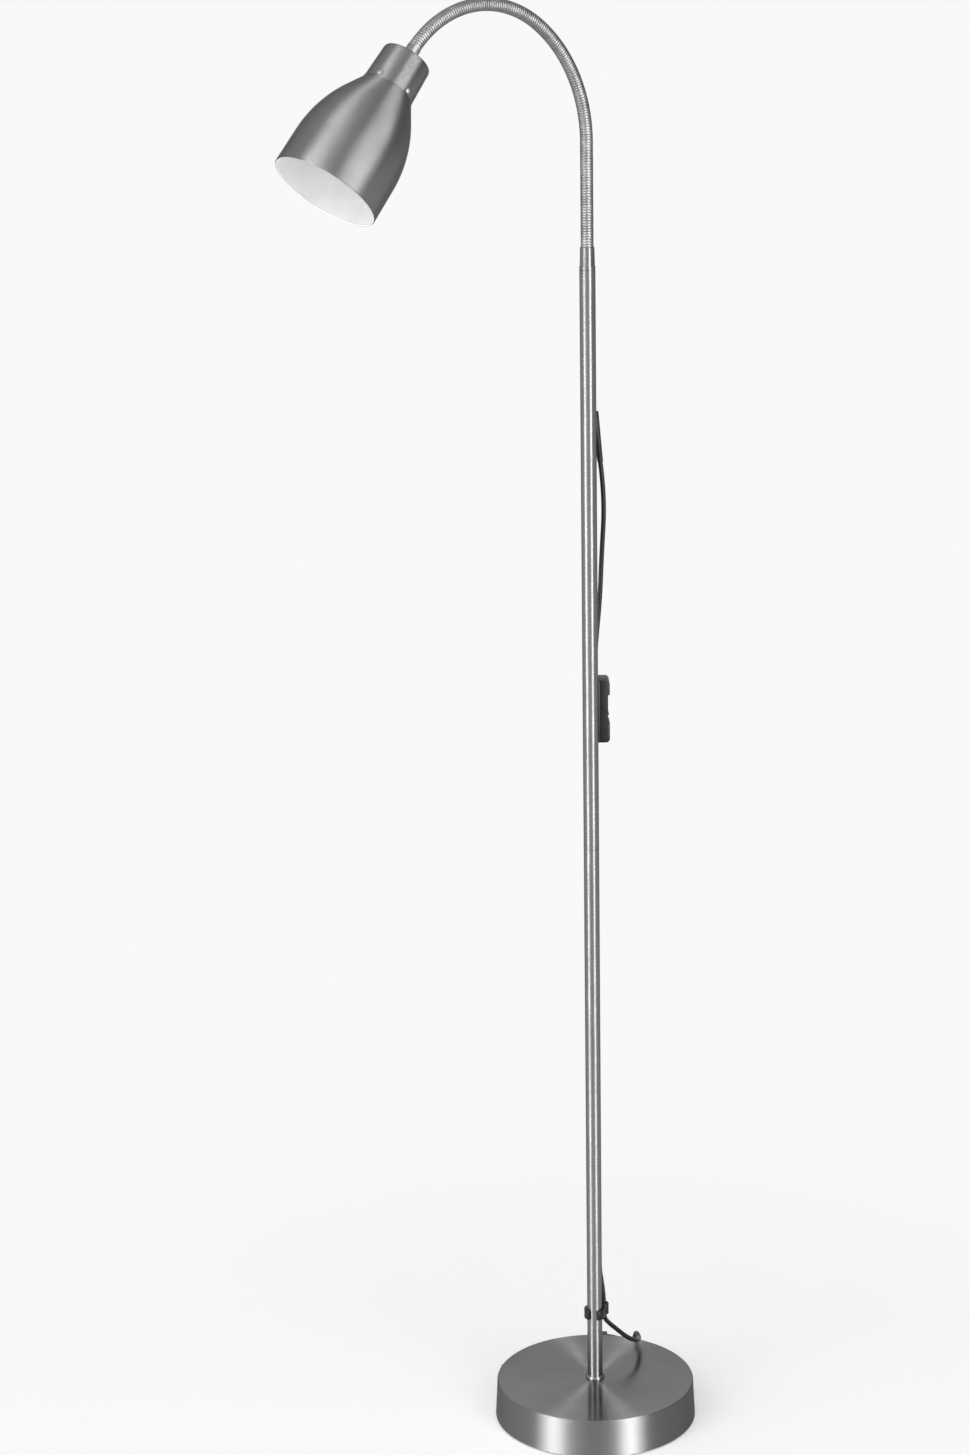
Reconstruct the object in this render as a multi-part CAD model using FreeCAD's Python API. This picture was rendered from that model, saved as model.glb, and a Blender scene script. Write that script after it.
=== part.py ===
import FreeCAD, Part
import math
import os

# Gooseneck reading floor lamp. Millimetres, +Z up. The origin is the centre of the base's underside.
# The head hangs towards -X and -Y. The mains lead leaves the pole at the back, on the +X side.

V = FreeCAD.Vector
Z_AXIS = V(0, 0, 1)

# ---------------------------------------------------------------- driving dimensions
# base
BASE_TOP_R = 105.45
BASE_FLARE = 2.1
BASE_HEIGHT = 41.5
BASE_EDGE_ROUND = 1.8
BASE_SKIN = 1.2
SKIRT_LIFT = 1.0
PAD_THICK = 2.5
PAD_INSET = 2.0
PLATE_THICK = 2.0
WEIGHT_THICK = 20.0
WEIGHT_BOSS_R = 30.0
WEIGHT_GAP = 0.4
WELL_R = 14.0
PLATE_SCREW_COUNT = 3
PLATE_SCREW_RING_SHARE = 0.71
PLATE_SCREW_R = 2.5
PLATE_SCREW_LENGTH = 12.0
PLATE_SCREW_HEAD_R = 5.0
PLATE_SCREW_TIP_GAP = 1.0
PAD_HOLE_GAP = 1.0

# pole and its fixing
POLE_R = 8.0
POLE_WALL = 1.2
POLE_TUBE_LENGTH = 593.95
POLE_TUBES = 2
BOLT_R = 5.0
BOLT_HEAD_FLATS = 16.0
BOLT_HEAD_HEIGHT = 6.4
BOLT_ENGAGEMENT = 20.0
BOLT_CLEARANCE = 0.5
WASHER_R = 10.0
WASHER_THICK = 2.0
WASHER_CLEARANCE = 0.2
INSERT_LENGTH = 25.0
FOOT_R = 10.25
FOOT_TOP_R = 9.0
FOOT_HEIGHT = 3.5
COUPLER_LENGTH = 60.0
COUPLER_BORE_R = 5.0

# ferrule between pole and neck
FERRULE_HEIGHT = 22.6
FERRULE_TOP_R = 7.15
FERRULE_SPIGOT = 15.0
FERRULE_RING_HEIGHT = 4.0
FERRULE_RING_GROOVE = 0.5
NECK_SEAT_DEPTH = 12.0

# gooseneck: a straight foot, two arcs and a short straight end, bent in one upright plane
NECK_AZIMUTH = 218.4
NECK_R = 6.4
NECK_BORE_R = 3.0
NECK_FOOT = 101.5
NECK_ARC_1_R = 138.4
NECK_ARC_1_TURN = 56.3
NECK_ARC_2_R = 113.7
NECK_ARC_2_TURN = 83.5
NECK_END = 8.6
NECK_SPIGOT_R = 5.0
SLEEVE_LENGTH = 13.0
SLEEVE_R = 6.8

# joints of the neck: a knuckle on each section's nose turns in the plain socket of the next
SIDE_JOINTS = (32.0, 84.0)
SIDE_RANGE = 30.0
BEND_JOINT_COUNT = 5
BEND_OPEN_RANGE = 27.95
BEND_SHUT_RANGE = 10.0
KNUCKLE_R = 4.0
SOCKET_R = 4.95
KNUCKLE_CLEARANCE = 0.09
SECTION_CLEARANCE = 0.4
LOFT_STEP = 18.0
BORE_STEP = 30.0

# head: collar, shade and lampholder share one axis, measured from the collar's top
COLLAR_TOP_R = 24.2
COLLAR_FOOT_R = 25.65
COLLAR_LENGTH = 37.5
COLLAR_EDGE_ROUND = 3.0
COLLAR_WALL = 1.2
SHADE_WALL = 1.0
SHADE_NECK_LENGTH = 14.0
SHADE_CONE_ANGLE = 29.2
SHADE_SHOULDER_R = 126.0
SHADE_RIM_SLOPE = 0.7
SHADE_RIM_R = 53.1
SHADE_RIM_AT = 152.5
SHADE_RIM_ROLL = 0.9
SHADE_SCREWS = 5
SHADE_SCREW_AT = 34.6
SHADE_SCREW_AZIMUTH = 84.0
SHADE_SCREW_R = 1.5
SHADE_SCREW_LENGTH = 5.0
SHADE_SCREW_HEAD_R = 2.2
SHADE_SCREW_HEAD_HEIGHT = 1.4
SHADE_SCREW_SEAT_GAP = 0.02
HOLDER_R = 19.5
HOLDER_TOP_R = 14.0
HOLDER_CAP_START = 6.0
HOLDER_CAP_LENGTH = 12.0
HOLDER_END = 58.0
HOLDER_SHELL_R = 13.25
HOLDER_SHELL_WALL = 0.5
HOLDER_SHELL_LENGTH = 22.0
HOLDER_MOUTH_LIP = 2.0
HOLDER_FLOOR = 10.0
CONTACT_R = 3.0
CONTACT_HEIGHT = 5.0
NIPPLE_R = 5.0
NIPPLE_NUT_FLATS = 13.0
NIPPLE_NUT_HEIGHT = 3.0

# mains lead and what is on it
CORD_R = 2.5
CORD_SIDES = 6
LEAD_SHEATH_STRIPPED = 0.2
EXIT_BELOW_POLE_TOP = 147.9
EXIT_HOLE_R = 3.0
RELIEF_TOP_R = 4.1
RELIEF_END_R = 2.9
SWITCH_WIDTH = 27.0
SWITCH_DEPTH = 21.8
SWITCH_LENGTH = 65.3
SWITCH_ROUND = 4.0
SWITCH_WALL = 2.0
SWITCH_RECESS = 1.8
SWITCH_RECESS_HALF = 15.0
SWITCH_CORD_INSET = 6.7
SWITCH_SEAM_DEPTH = 11.7
SWITCH_SCREW_R = 1.2
SWITCH_SCREW_HEAD_R = 2.4
SWITCH_SCREW_HEAD_HEIGHT = 1.5
SWITCH_POST_R = 3.0
SWITCH_POST_ASIDE = 8.0
SWITCH_POST_ALONG = 24.0
SWITCH_EAR_BELOW = 2.5
SWITCH_EAR_HALF = 4.0
ROCKER_PIVOT_DEPTH = 5.0
ROCKER_PIVOT_HEIGHT = 35.0
ROCKER_HALF_LENGTH = 8.0
ROCKER_HALF_WIDTH = 6.0
ROCKER_EDGE_HEIGHT = 5.3
ROCKER_MIDDLE_HEIGHT = 4.6
ROCKER_TILT = 7.0
ROCKER_GAP = 0.4
ROCKER_DROP = 1.0
TRUNNION_R = 1.5
TRUNNION_CLEARANCE = 0.05
TRUNNION_LENGTH = 2.6
CLIP_ABOVE_BASE = 70.0
CLIP_WALL = 3.25
CLIP_HEIGHT = 10.0
CLIP_LOOP_HEIGHT = 12.0
CLIP_LOOP_R = 4.9
CLIP_CORD_CLEARANCE = 0.35
CLIP_MOUTH = (-127.0, -76.0)
PLUG_WIDTH = 35.3
PLUG_THICK = 13.7
PLUG_LENGTH = 34.0
PLUG_ROUND = 3.0
PLUG_RELIEF_LENGTH = 14.0
PLUG_PIN_R = 2.0
PLUG_PIN_LENGTH = 19.0
PLUG_PIN_SPACING = 18.6
TIE_WALL = 0.8
TIE_WIDTH = 12.0
TIE_GAP = 0.3

# coil of spare lead behind the base
COIL_X = 14.0
COIL_Y = 140.7
COIL_R = 30.7
COIL_PITCH = 6.1
COIL_LAYER_STEP = 5.3
COIL_TURNS = 3.45
COIL_ARCS = 14
COIL_CLIMB_ARCS = 2

# ---------------------------------------------------------------- derived places
BASE_BOTTOM_R = BASE_TOP_R + BASE_FLARE
BASE_TOP = BASE_HEIGHT
POLE_TOP = BASE_TOP + POLE_TUBES * POLE_TUBE_LENGTH
POLE_BORE_R = POLE_R - POLE_WALL
NECK_START = POLE_TOP + FERRULE_HEIGHT
NECK_OUT = V(math.cos(math.radians(NECK_AZIMUTH)), math.sin(math.radians(NECK_AZIMUTH)), 0)
NECK_SIDE = NECK_OUT.cross(Z_AXIS)
NECK_TURN = NECK_ARC_1_TURN + NECK_ARC_2_TURN
ARC_1_LENGTH = math.radians(NECK_ARC_1_TURN) * NECK_ARC_1_R
ARC_2_LENGTH = math.radians(NECK_ARC_2_TURN) * NECK_ARC_2_R
NECK_LENGTH = NECK_FOOT + ARC_1_LENGTH + ARC_2_LENGTH + NECK_END
KNUCKLE_HALF = math.sqrt((SOCKET_R - KNUCKLE_CLEARANCE) ** 2 - KNUCKLE_R ** 2)
SOCKET_DEPTH = KNUCKLE_R + SECTION_CLEARANCE
EXIT_Z = POLE_TOP - EXIT_BELOW_POLE_TOP
COLLAR_LEAN = (COLLAR_FOOT_R - COLLAR_TOP_R) / COLLAR_LENGTH

# points of the lead's free runs, top to bottom, each in the order that the current takes
RELIEF_TOP = V(6.4, 7.8, POLE_TOP - 141.9)
RELIEF_END = V(12.0, 12.1, POLE_TOP - 192.9)
SWITCH_CORD_X = 5.2
SWITCH_CORD_Y = 22.5
SWITCH_TOP = POLE_TOP - 418.6
SWITCH_BOTTOM = SWITCH_TOP - SWITCH_LENGTH
SWITCH_BACK_X = SWITCH_CORD_X - SWITCH_CORD_INSET
SWITCH_FRONT_X = SWITCH_BACK_X + SWITCH_DEPTH
SWITCH_SEAM_X = SWITCH_BACK_X + SWITCH_SEAM_DEPTH
SWITCH_FACE_X = SWITCH_FRONT_X - SWITCH_RECESS
ROCKER_PIVOT = V(SWITCH_FACE_X - ROCKER_PIVOT_DEPTH, SWITCH_CORD_Y, SWITCH_BOTTOM + ROCKER_PIVOT_HEIGHT)
ROCKER_R = math.hypot(ROCKER_HALF_LENGTH, ROCKER_EDGE_HEIGHT)
CLIP_LOOP_X = 10.5
CLIP_LOOP_Y = 9.0
CLIP_Z = BASE_TOP + CLIP_ABOVE_BASE
CLIP_MIDDLE = CLIP_Z + CLIP_HEIGHT / 2
CORD_FLAT_R = CORD_R * math.sqrt(math.pi / (CORD_SIDES * math.tan(math.pi / CORD_SIDES)))
CORD_POINT_R = CORD_FLAT_R / math.cos(math.pi / CORD_SIDES)
COIL_Z = TIE_WALL + TIE_GAP + CORD_FLAT_R

CORD_UPPER_POINTS = (
    RELIEF_END,
    V(16.7, 16.2, 999.5),
    V(13.0, 20.6, 937.0),
    V(11.2, 22.0, 892.0),
    V(6.0, 22.5, 842.0),
    V(SWITCH_CORD_X, SWITCH_CORD_Y, SWITCH_TOP),
)
CORD_RUN_POINTS = (
    V(SWITCH_CORD_X, SWITCH_CORD_Y, SWITCH_BOTTOM),
    V(4.4, 21.6, 712.0),
    V(4.0, 15.8, 172.0),
    V(9.4, 10.4, 140.0),
    V(CLIP_LOOP_X, CLIP_LOOP_Y, CLIP_MIDDLE),
)
CORD_LOWER_POINTS = (
    V(CLIP_LOOP_X, CLIP_LOOP_Y, CLIP_MIDDLE),
    V(10.7, 10.0, 106.0),
    V(14.0, 20.5, 96.5),
    V(23.0, 32.5, 83.0),
    V(37.5, 39.0, 67.5),
    V(48.0, 51.5, 58.5),
    V(51.8, 72.5, 51.3),
    V(49.6, 85.8, 51.4),
    V(48.6, 97.8, 45.8),
    V(47.7, 106.3, 35.6),
    V(47.3, 110.7, 19.3),
    V(46.4, 119.2, 9.1),
    V(45.2, 131.2, 3.5),
    V(COIL_X + COIL_R, COIL_Y, COIL_Z),
)
PLUG_X = -64.5
PLUG_Y = 110.0
PLUG_HEADING = 210.0


# ---------------------------------------------------------------- shared shapes
def save(name, shape):
    """Write one node."""
    if not shape.isValid():
        print("not valid:", name)
    shape.exportStep("parts/" + name + ".step")


def lathe(profile):
    """Solid turned about Z from (radius, height) points."""
    points = [V(r, 0, z) for r, z in profile]
    return Part.Face(Part.makePolygon(points + points[:1])).revolve(V(0, 0, 0), Z_AXIS, 360)


def rod(radius, z_low, z_high, x=0.0, y=0.0):
    """Upright cylinder."""
    return Part.makeCylinder(radius, z_high - z_low, V(x, y, z_low))


def tube(outer, inner, z_low, z_high):
    """Upright pipe."""
    return rod(outer, z_low, z_high).cut(rod(inner, z_low, z_high))


def hexagon(flats, z_low, z_high):
    """Upright hexagonal prism, measured across its flats."""
    corner = flats / 2 / math.cos(math.pi / 6)
    turns = [math.radians(60 * i) for i in range(7)]
    outline = Part.makePolygon([V(corner * math.cos(t), corner * math.sin(t), z_low) for t in turns])
    return Part.Face(outline).extrude(V(0, 0, z_high - z_low))


def placed(shape, origin, z_dir, x_dir):
    """Shape moved from the origin's axes to a frame given by its origin, Z and X."""
    z = V(z_dir).normalize()
    x = V(x_dir).normalize()
    y = z.cross(x)
    moved = shape.copy()
    moved.Placement = FreeCAD.Placement(FreeCAD.Matrix(
        x.x, y.x, z.x, origin.x,
        x.y, y.y, z.y, origin.y,
        x.z, y.z, z.z, origin.z,
        0, 0, 0, 1))
    return moved


def around(shape, count, first=0.0):
    """Copies of a shape at equal turns about Z."""
    copies = []
    for i in range(count):
        copy = shape.copy()
        copy.rotate(V(0, 0, 0), Z_AXIS, first + 360.0 / count * i)
        copies.append(copy)
    return copies


# ---------------------------------------------------------------- base
def skirt_radius(z):
    """Outer radius of the base at a height: it leans in towards the top."""
    lean = BASE_FLARE / (BASE_HEIGHT - SKIRT_LIFT)
    return BASE_BOTTOM_R - lean * (z - SKIRT_LIFT)


def base():
    inside = BASE_TOP - BASE_SKIN
    outer = lathe([(0, SKIRT_LIFT), (skirt_radius(SKIRT_LIFT), SKIRT_LIFT), (BASE_TOP_R, BASE_TOP), (0, BASE_TOP)])
    rim = [e for e in outer.Edges if abs(e.BoundBox.ZMin - BASE_TOP) < 0.01 and e.BoundBox.XLength > BASE_TOP_R]
    outer = outer.makeFillet(BASE_EDGE_ROUND, rim)
    hollow = lathe([
        (0, SKIRT_LIFT - 1), (skirt_radius(SKIRT_LIFT - 1) - BASE_SKIN, SKIRT_LIFT - 1),
        (skirt_radius(inside) - BASE_SKIN, inside), (0, inside)])
    hole_r = BOLT_R + BOLT_CLEARANCE
    save("base_cover", outer.cut(hollow).cut(rod(hole_r, inside - 1, BASE_TOP + 1)))

    plate_top = PAD_THICK + PLATE_THICK
    screw_spot = V(PLATE_SCREW_RING_SHARE * BASE_TOP_R, 0, 0)
    pad = rod(skirt_radius(0) - BASE_SKIN - PAD_INSET, 0, PAD_THICK)
    head_hole = Part.makeCylinder(PLATE_SCREW_HEAD_R + PAD_HOLE_GAP, PAD_THICK, screw_spot)
    for hole in around(head_hole, PLATE_SCREW_COUNT):
        pad = pad.cut(hole)
    save("base_pad", pad)

    plate_r = skirt_radius(plate_top) - BASE_SKIN - WEIGHT_GAP
    plate = rod(plate_r, PAD_THICK, plate_top).cut(rod(WELL_R, PAD_THICK, plate_top))
    sink = Part.makeCone(PLATE_SCREW_HEAD_R, PLATE_SCREW_R, PLATE_THICK, screw_spot + V(0, 0, PAD_THICK))
    for hole in around(sink, PLATE_SCREW_COUNT):
        plate = plate.cut(hole)
    save("base_plate", plate)

    weight_top = plate_top + WEIGHT_THICK
    well_top = plate_top + WEIGHT_THICK - WASHER_THICK
    weight_r = skirt_radius(weight_top) - BASE_SKIN - WEIGHT_GAP
    weight = lathe([
        (0, plate_top), (plate_r, plate_top), (weight_r, weight_top), (WEIGHT_BOSS_R, weight_top),
        (WEIGHT_BOSS_R, inside), (0, inside)])
    weight = weight.cut(rod(WELL_R, plate_top, well_top)).cut(rod(hole_r, well_top, inside))
    thread = Part.makeCylinder(PLATE_SCREW_R, PLATE_SCREW_LENGTH, screw_spot + V(0, 0, plate_top))
    for hole in around(thread, PLATE_SCREW_COUNT):
        weight = weight.cut(hole)
    save("base_weight", weight)

    reach = PLATE_SCREW_LENGTH - PLATE_SCREW_TIP_GAP
    shank = Part.makeCylinder(PLATE_SCREW_R, reach, screw_spot + V(0, 0, plate_top))
    screw = Part.makeCone(PLATE_SCREW_HEAD_R, PLATE_SCREW_R, PLATE_THICK, screw_spot + V(0, 0, PAD_THICK)).fuse(shank)
    save("base_plate_screws", Part.makeCompound(around(screw, PLATE_SCREW_COUNT)))

    washer_low = well_top - WASHER_THICK
    save("base_washer", tube(WASHER_R, BOLT_R + WASHER_CLEARANCE, washer_low, well_top))
    head = hexagon(BOLT_HEAD_FLATS, washer_low - BOLT_HEAD_HEIGHT, washer_low)
    save("base_bolt", head.fuse(rod(BOLT_R, washer_low, BASE_TOP + BOLT_ENGAGEMENT)))


# ---------------------------------------------------------------- pole
def relief_direction():
    """Level direction from the pole's axis to the lead's exit."""
    return V(RELIEF_TOP.x, RELIEF_TOP.y, 0).normalize()


def pole():
    foot = lathe([(POLE_R, BASE_TOP), (FOOT_R, BASE_TOP), (FOOT_TOP_R, BASE_TOP + FOOT_HEIGHT),
                  (POLE_R, BASE_TOP + FOOT_HEIGHT)])
    save("pole_foot", foot)
    save("pole_foot_insert", tube(POLE_BORE_R, BOLT_R, BASE_TOP, BASE_TOP + INSERT_LENGTH))

    joint_z = BASE_TOP + POLE_TUBE_LENGTH
    save("pole_lower", tube(POLE_R, POLE_BORE_R, BASE_TOP, joint_z))
    save("pole_coupler", tube(POLE_BORE_R, COUPLER_BORE_R, joint_z - COUPLER_LENGTH / 2, joint_z + COUPLER_LENGTH / 2))
    exit_hole = Part.makeCylinder(EXIT_HOLE_R, 2 * POLE_R, V(0, 0, EXIT_Z), relief_direction())
    save("pole_upper", tube(POLE_R, POLE_BORE_R, joint_z, POLE_TOP).cut(exit_hole))

    ring_z = POLE_TOP + FERRULE_RING_HEIGHT
    ferrule = lathe([
        (0, POLE_TOP - FERRULE_SPIGOT), (POLE_BORE_R, POLE_TOP - FERRULE_SPIGOT), (POLE_BORE_R, POLE_TOP),
        (POLE_R, POLE_TOP), (POLE_R, ring_z), (POLE_R - FERRULE_RING_GROOVE, ring_z + FERRULE_RING_GROOVE),
        (FERRULE_TOP_R, NECK_START), (0, NECK_START)])
    seat = rod(NECK_SPIGOT_R, NECK_START - NECK_SEAT_DEPTH, NECK_START)
    save("neck_ferrule", ferrule.cut(seat).cut(rod(NECK_BORE_R, POLE_TOP - FERRULE_SPIGOT, NECK_START)))

    lead_r = CORD_R - LEAD_SHEATH_STRIPPED
    lead = rod(lead_r, EXIT_Z - lead_r, NECK_START)
    branch = Part.makeCylinder(lead_r, POLE_BORE_R - 1, V(0, 0, EXIT_Z), relief_direction())
    save("pole_lead", lead.fuse(branch))


# ---------------------------------------------------------------- gooseneck
def neck_at(length):
    """Point and direction of the neck's line at a length above the ferrule."""
    centre_1 = V(0, 0, NECK_START + NECK_FOOT) + NECK_OUT * NECK_ARC_1_R
    if length <= NECK_FOOT:
        return V(0, 0, NECK_START + length), V(Z_AXIS)
    along = length - NECK_FOOT
    if along <= ARC_1_LENGTH:
        turn = along / NECK_ARC_1_R
        return centre_1 + neck_inward(turn) * -NECK_ARC_1_R, neck_heading(turn)
    first = math.radians(NECK_ARC_1_TURN)
    centre_2 = centre_1 + neck_inward(first) * (NECK_ARC_2_R - NECK_ARC_1_R)
    along -= ARC_1_LENGTH
    if along <= ARC_2_LENGTH:
        turn = first + along / NECK_ARC_2_R
        return centre_2 + neck_inward(turn) * -NECK_ARC_2_R, neck_heading(turn)
    last = math.radians(NECK_TURN)
    heading = neck_heading(last)
    return centre_2 + neck_inward(last) * -NECK_ARC_2_R + heading * (along - ARC_2_LENGTH), heading


def neck_heading(turn):
    """Direction of the neck's line after it has turned by an angle, in radians."""
    return NECK_OUT * math.sin(turn) + Z_AXIS * math.cos(turn)


def neck_inward(turn):
    """Direction from the neck's line to the inside of its bend."""
    return NECK_OUT * math.cos(turn) - Z_AXIS * math.sin(turn)


def bend_joint_lengths():
    """Lengths along the neck at which it bends, at equal turns."""
    lengths = []
    for i in range(BEND_JOINT_COUNT):
        turn = NECK_TURN * (i + 0.5) / BEND_JOINT_COUNT
        on_first = min(turn, NECK_ARC_1_TURN)
        on_second = turn - on_first
        lengths.append(NECK_FOOT + math.radians(on_first) * NECK_ARC_1_R + math.radians(on_second) * NECK_ARC_2_R)
    return lengths


def neck_joints():
    """Each joint of the neck, foot to head: its length along the neck, kind and the slack below it."""
    side_slack = NECK_R * math.sin(math.radians(SIDE_RANGE)) + SECTION_CLEARANCE
    bend_slack = NECK_R * math.sin(math.radians(max(BEND_OPEN_RANGE, BEND_SHUT_RANGE))) + SECTION_CLEARANCE
    joints = [(length, "side", side_slack) for length in SIDE_JOINTS]
    return joints + [(length, "bend", bend_slack) for length in bend_joint_lengths()]


def hose(radius, start, end, step=LOFT_STEP):
    """Round solid along the neck's line between two lengths."""
    steps = max(1, math.ceil((end - start) / step))
    rings = []
    for i in range(steps + 1):
        point, heading = neck_at(start + (end - start) * i / steps)
        rings.append(placed(Part.Wire(Part.makeCircle(radius)), point, heading, NECK_SIDE))
    return Part.makeLoft(rings, True, True)


def on_neck(shape, length):
    """Shape turned about Z, moved to a length along the neck."""
    point, heading = neck_at(length)
    return placed(shape, point, heading, NECK_SIDE)


def knuckle(kind, slack):
    """Nose of a section's upper end, with a round knuckle on the joint's axis. The joint's centre is the origin."""
    # on_neck turns X into the sideways direction, which is the bend joints' axis
    axis = V(1, 0, 0) if kind == "bend" else V(0, 1, 0)
    barrel = Part.makeCylinder(KNUCKLE_R, 2 * KNUCKLE_HALF, axis * -KNUCKLE_HALF, axis)
    return rod(KNUCKLE_R, -slack - 1, 0).fuse(barrel)


def neck():
    joints = neck_joints()
    sleeve_start = NECK_LENGTH - SLEEVE_LENGTH
    starts = [0.0] + [joint[0] for joint in joints]
    for i, start in enumerate(starts):
        if i < len(joints):
            length, kind, slack = joints[i]
            body = hose(NECK_R, start, length - slack).fuse(on_neck(knuckle(kind, slack), length))
            bore_end = length + KNUCKLE_R + 1
        else:
            body = hose(NECK_R, start, sleeve_start).fuse(hose(NECK_SPIGOT_R, sleeve_start, NECK_LENGTH))
            body = body.fuse(on_neck(rod(NIPPLE_R, 0, HOLDER_CAP_START + NIPPLE_NUT_HEIGHT), NECK_LENGTH))
            bore_end = NECK_LENGTH + HOLDER_CAP_START + NIPPLE_NUT_HEIGHT + 1
        if i == 0:
            spigot = rod(NECK_SPIGOT_R, NECK_START - NECK_SEAT_DEPTH, NECK_START + 1)
            body = body.fuse(spigot).cut(hose(NECK_BORE_R, -NECK_SEAT_DEPTH - 1, bore_end, NECK_LENGTH))
        else:
            body = body.cut(hose(NECK_BORE_R, start - 1, bore_end, BORE_STEP))
            body = body.cut(on_neck(rod(SOCKET_R, -1, SOCKET_DEPTH), start))
        save("neck_section_%d" % (i + 1), body)
    save("neck_sleeve", hose(SLEEVE_R, sleeve_start, NECK_LENGTH).cut(hose(NECK_SPIGOT_R, sleeve_start, NECK_LENGTH)))


# ---------------------------------------------------------------- head
def head_frame():
    """Origin, axis and cross direction of the head: the collar's top, straight out of the neck."""
    point, heading = neck_at(NECK_LENGTH)
    return point, heading, heading.cross(NECK_SIDE)


def on_head(shape):
    """Head piece moved from the origin's axes to its place."""
    origin, axis, cross = head_frame()
    return placed(shape, origin, axis, cross)


def bell_profile(offset):
    """Outline of the shade's outer skin moved in by an offset: cone, shoulder arc, rim band."""
    steep = math.radians(SHADE_CONE_ANGLE)
    flat = math.radians(SHADE_RIM_SLOPE)
    rim = V(SHADE_RIM_R - offset, 0, SHADE_RIM_AT)
    radius = SHADE_SHOULDER_R - offset
    start = V(COLLAR_FOOT_R - offset / math.cos(steep), 0, COLLAR_LENGTH)
    # the shoulder's centre is its radius inside both the cone's line and the rim band's line
    across = rim.x - start.x + math.tan(steep) * start.z - math.tan(flat) * rim.z
    shift = radius / math.cos(steep) - radius / math.cos(flat)
    centre_z = (across + shift) / (math.tan(steep) - math.tan(flat))
    centre_x = rim.x + math.tan(flat) * (centre_z - rim.z) - radius / math.cos(flat)
    middle = (steep + flat) / 2
    arc = [V(centre_x + radius * math.cos(a), 0, centre_z - radius * math.sin(a)) for a in (steep, middle, flat)]
    return start, arc, rim


def shade():
    """Spun steel bell with a straight neck inside the collar and a rolled rim."""
    start, arc, rim = bell_profile(0)
    inner_start, inner_arc, inner_rim = bell_profile(SHADE_WALL)
    neck_r = COLLAR_FOOT_R - COLLAR_WALL
    neck_top = COLLAR_LENGTH - SHADE_NECK_LENGTH
    inner_cone = V(inner_start.x, 0, start.z + SHADE_WALL)
    inner_cone.x += math.tan(math.radians(SHADE_CONE_ANGLE)) * SHADE_WALL
    inner_neck = V(neck_r - SHADE_WALL, 0, start.z)
    edges = [
        Part.LineSegment(V(neck_r, 0, neck_top), V(neck_r, 0, start.z)).toShape(),
        Part.LineSegment(V(neck_r, 0, start.z), start).toShape(),
        Part.LineSegment(start, arc[0]).toShape(),
        Part.Arc(*arc).toShape(),
        Part.LineSegment(arc[2], rim).toShape(),
        Part.LineSegment(rim, inner_rim).toShape(),
        Part.LineSegment(inner_rim, inner_arc[2]).toShape(),
        Part.Arc(*reversed(inner_arc)).toShape(),
        Part.LineSegment(inner_arc[0], inner_cone).toShape(),
        Part.LineSegment(inner_cone, inner_neck).toShape(),
        Part.LineSegment(inner_neck, V(neck_r - SHADE_WALL, 0, neck_top)).toShape(),
        Part.LineSegment(V(neck_r - SHADE_WALL, 0, neck_top), V(neck_r, 0, neck_top)).toShape(),
    ]
    bell = Part.Face(Part.Wire(edges)).revolve(V(0, 0, 0), Z_AXIS, 360)
    roll_z = SHADE_RIM_AT - SHADE_RIM_ROLL
    inside = SHADE_RIM_R - SHADE_WALL
    roll = lathe([(inside + 0.2, roll_z - 1), (inside + 0.2, SHADE_RIM_AT), (inside - SHADE_RIM_ROLL, SHADE_RIM_AT),
                  (inside - SHADE_RIM_ROLL, roll_z)])
    return bell.fuse(roll)


def collar_radius(at):
    """Outer radius of the collar at a length below its top."""
    return COLLAR_TOP_R + COLLAR_LEAN * at


def shade_screw():
    """Screw through the collar on the +X side. Its head clears the leaning wall all round."""
    seat = V(collar_radius(SHADE_SCREW_AT + SHADE_SCREW_HEAD_R) + SHADE_SCREW_SEAT_GAP, 0, SHADE_SCREW_AT)
    shank = Part.makeCylinder(SHADE_SCREW_R, SHADE_SCREW_LENGTH, seat, V(-1, 0, 0))
    return shank.fuse(Part.makeCylinder(SHADE_SCREW_HEAD_R, SHADE_SCREW_HEAD_HEIGHT, seat, V(1, 0, 0)))


def shade_screw_hole():
    """Hole for that screw, through the collar and the shade's neck."""
    outside = V(collar_radius(COLLAR_LENGTH) + 1, 0, SHADE_SCREW_AT)
    return Part.makeCylinder(SHADE_SCREW_R, 2 * SHADE_SCREW_LENGTH, outside, V(-1, 0, 0))


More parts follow.
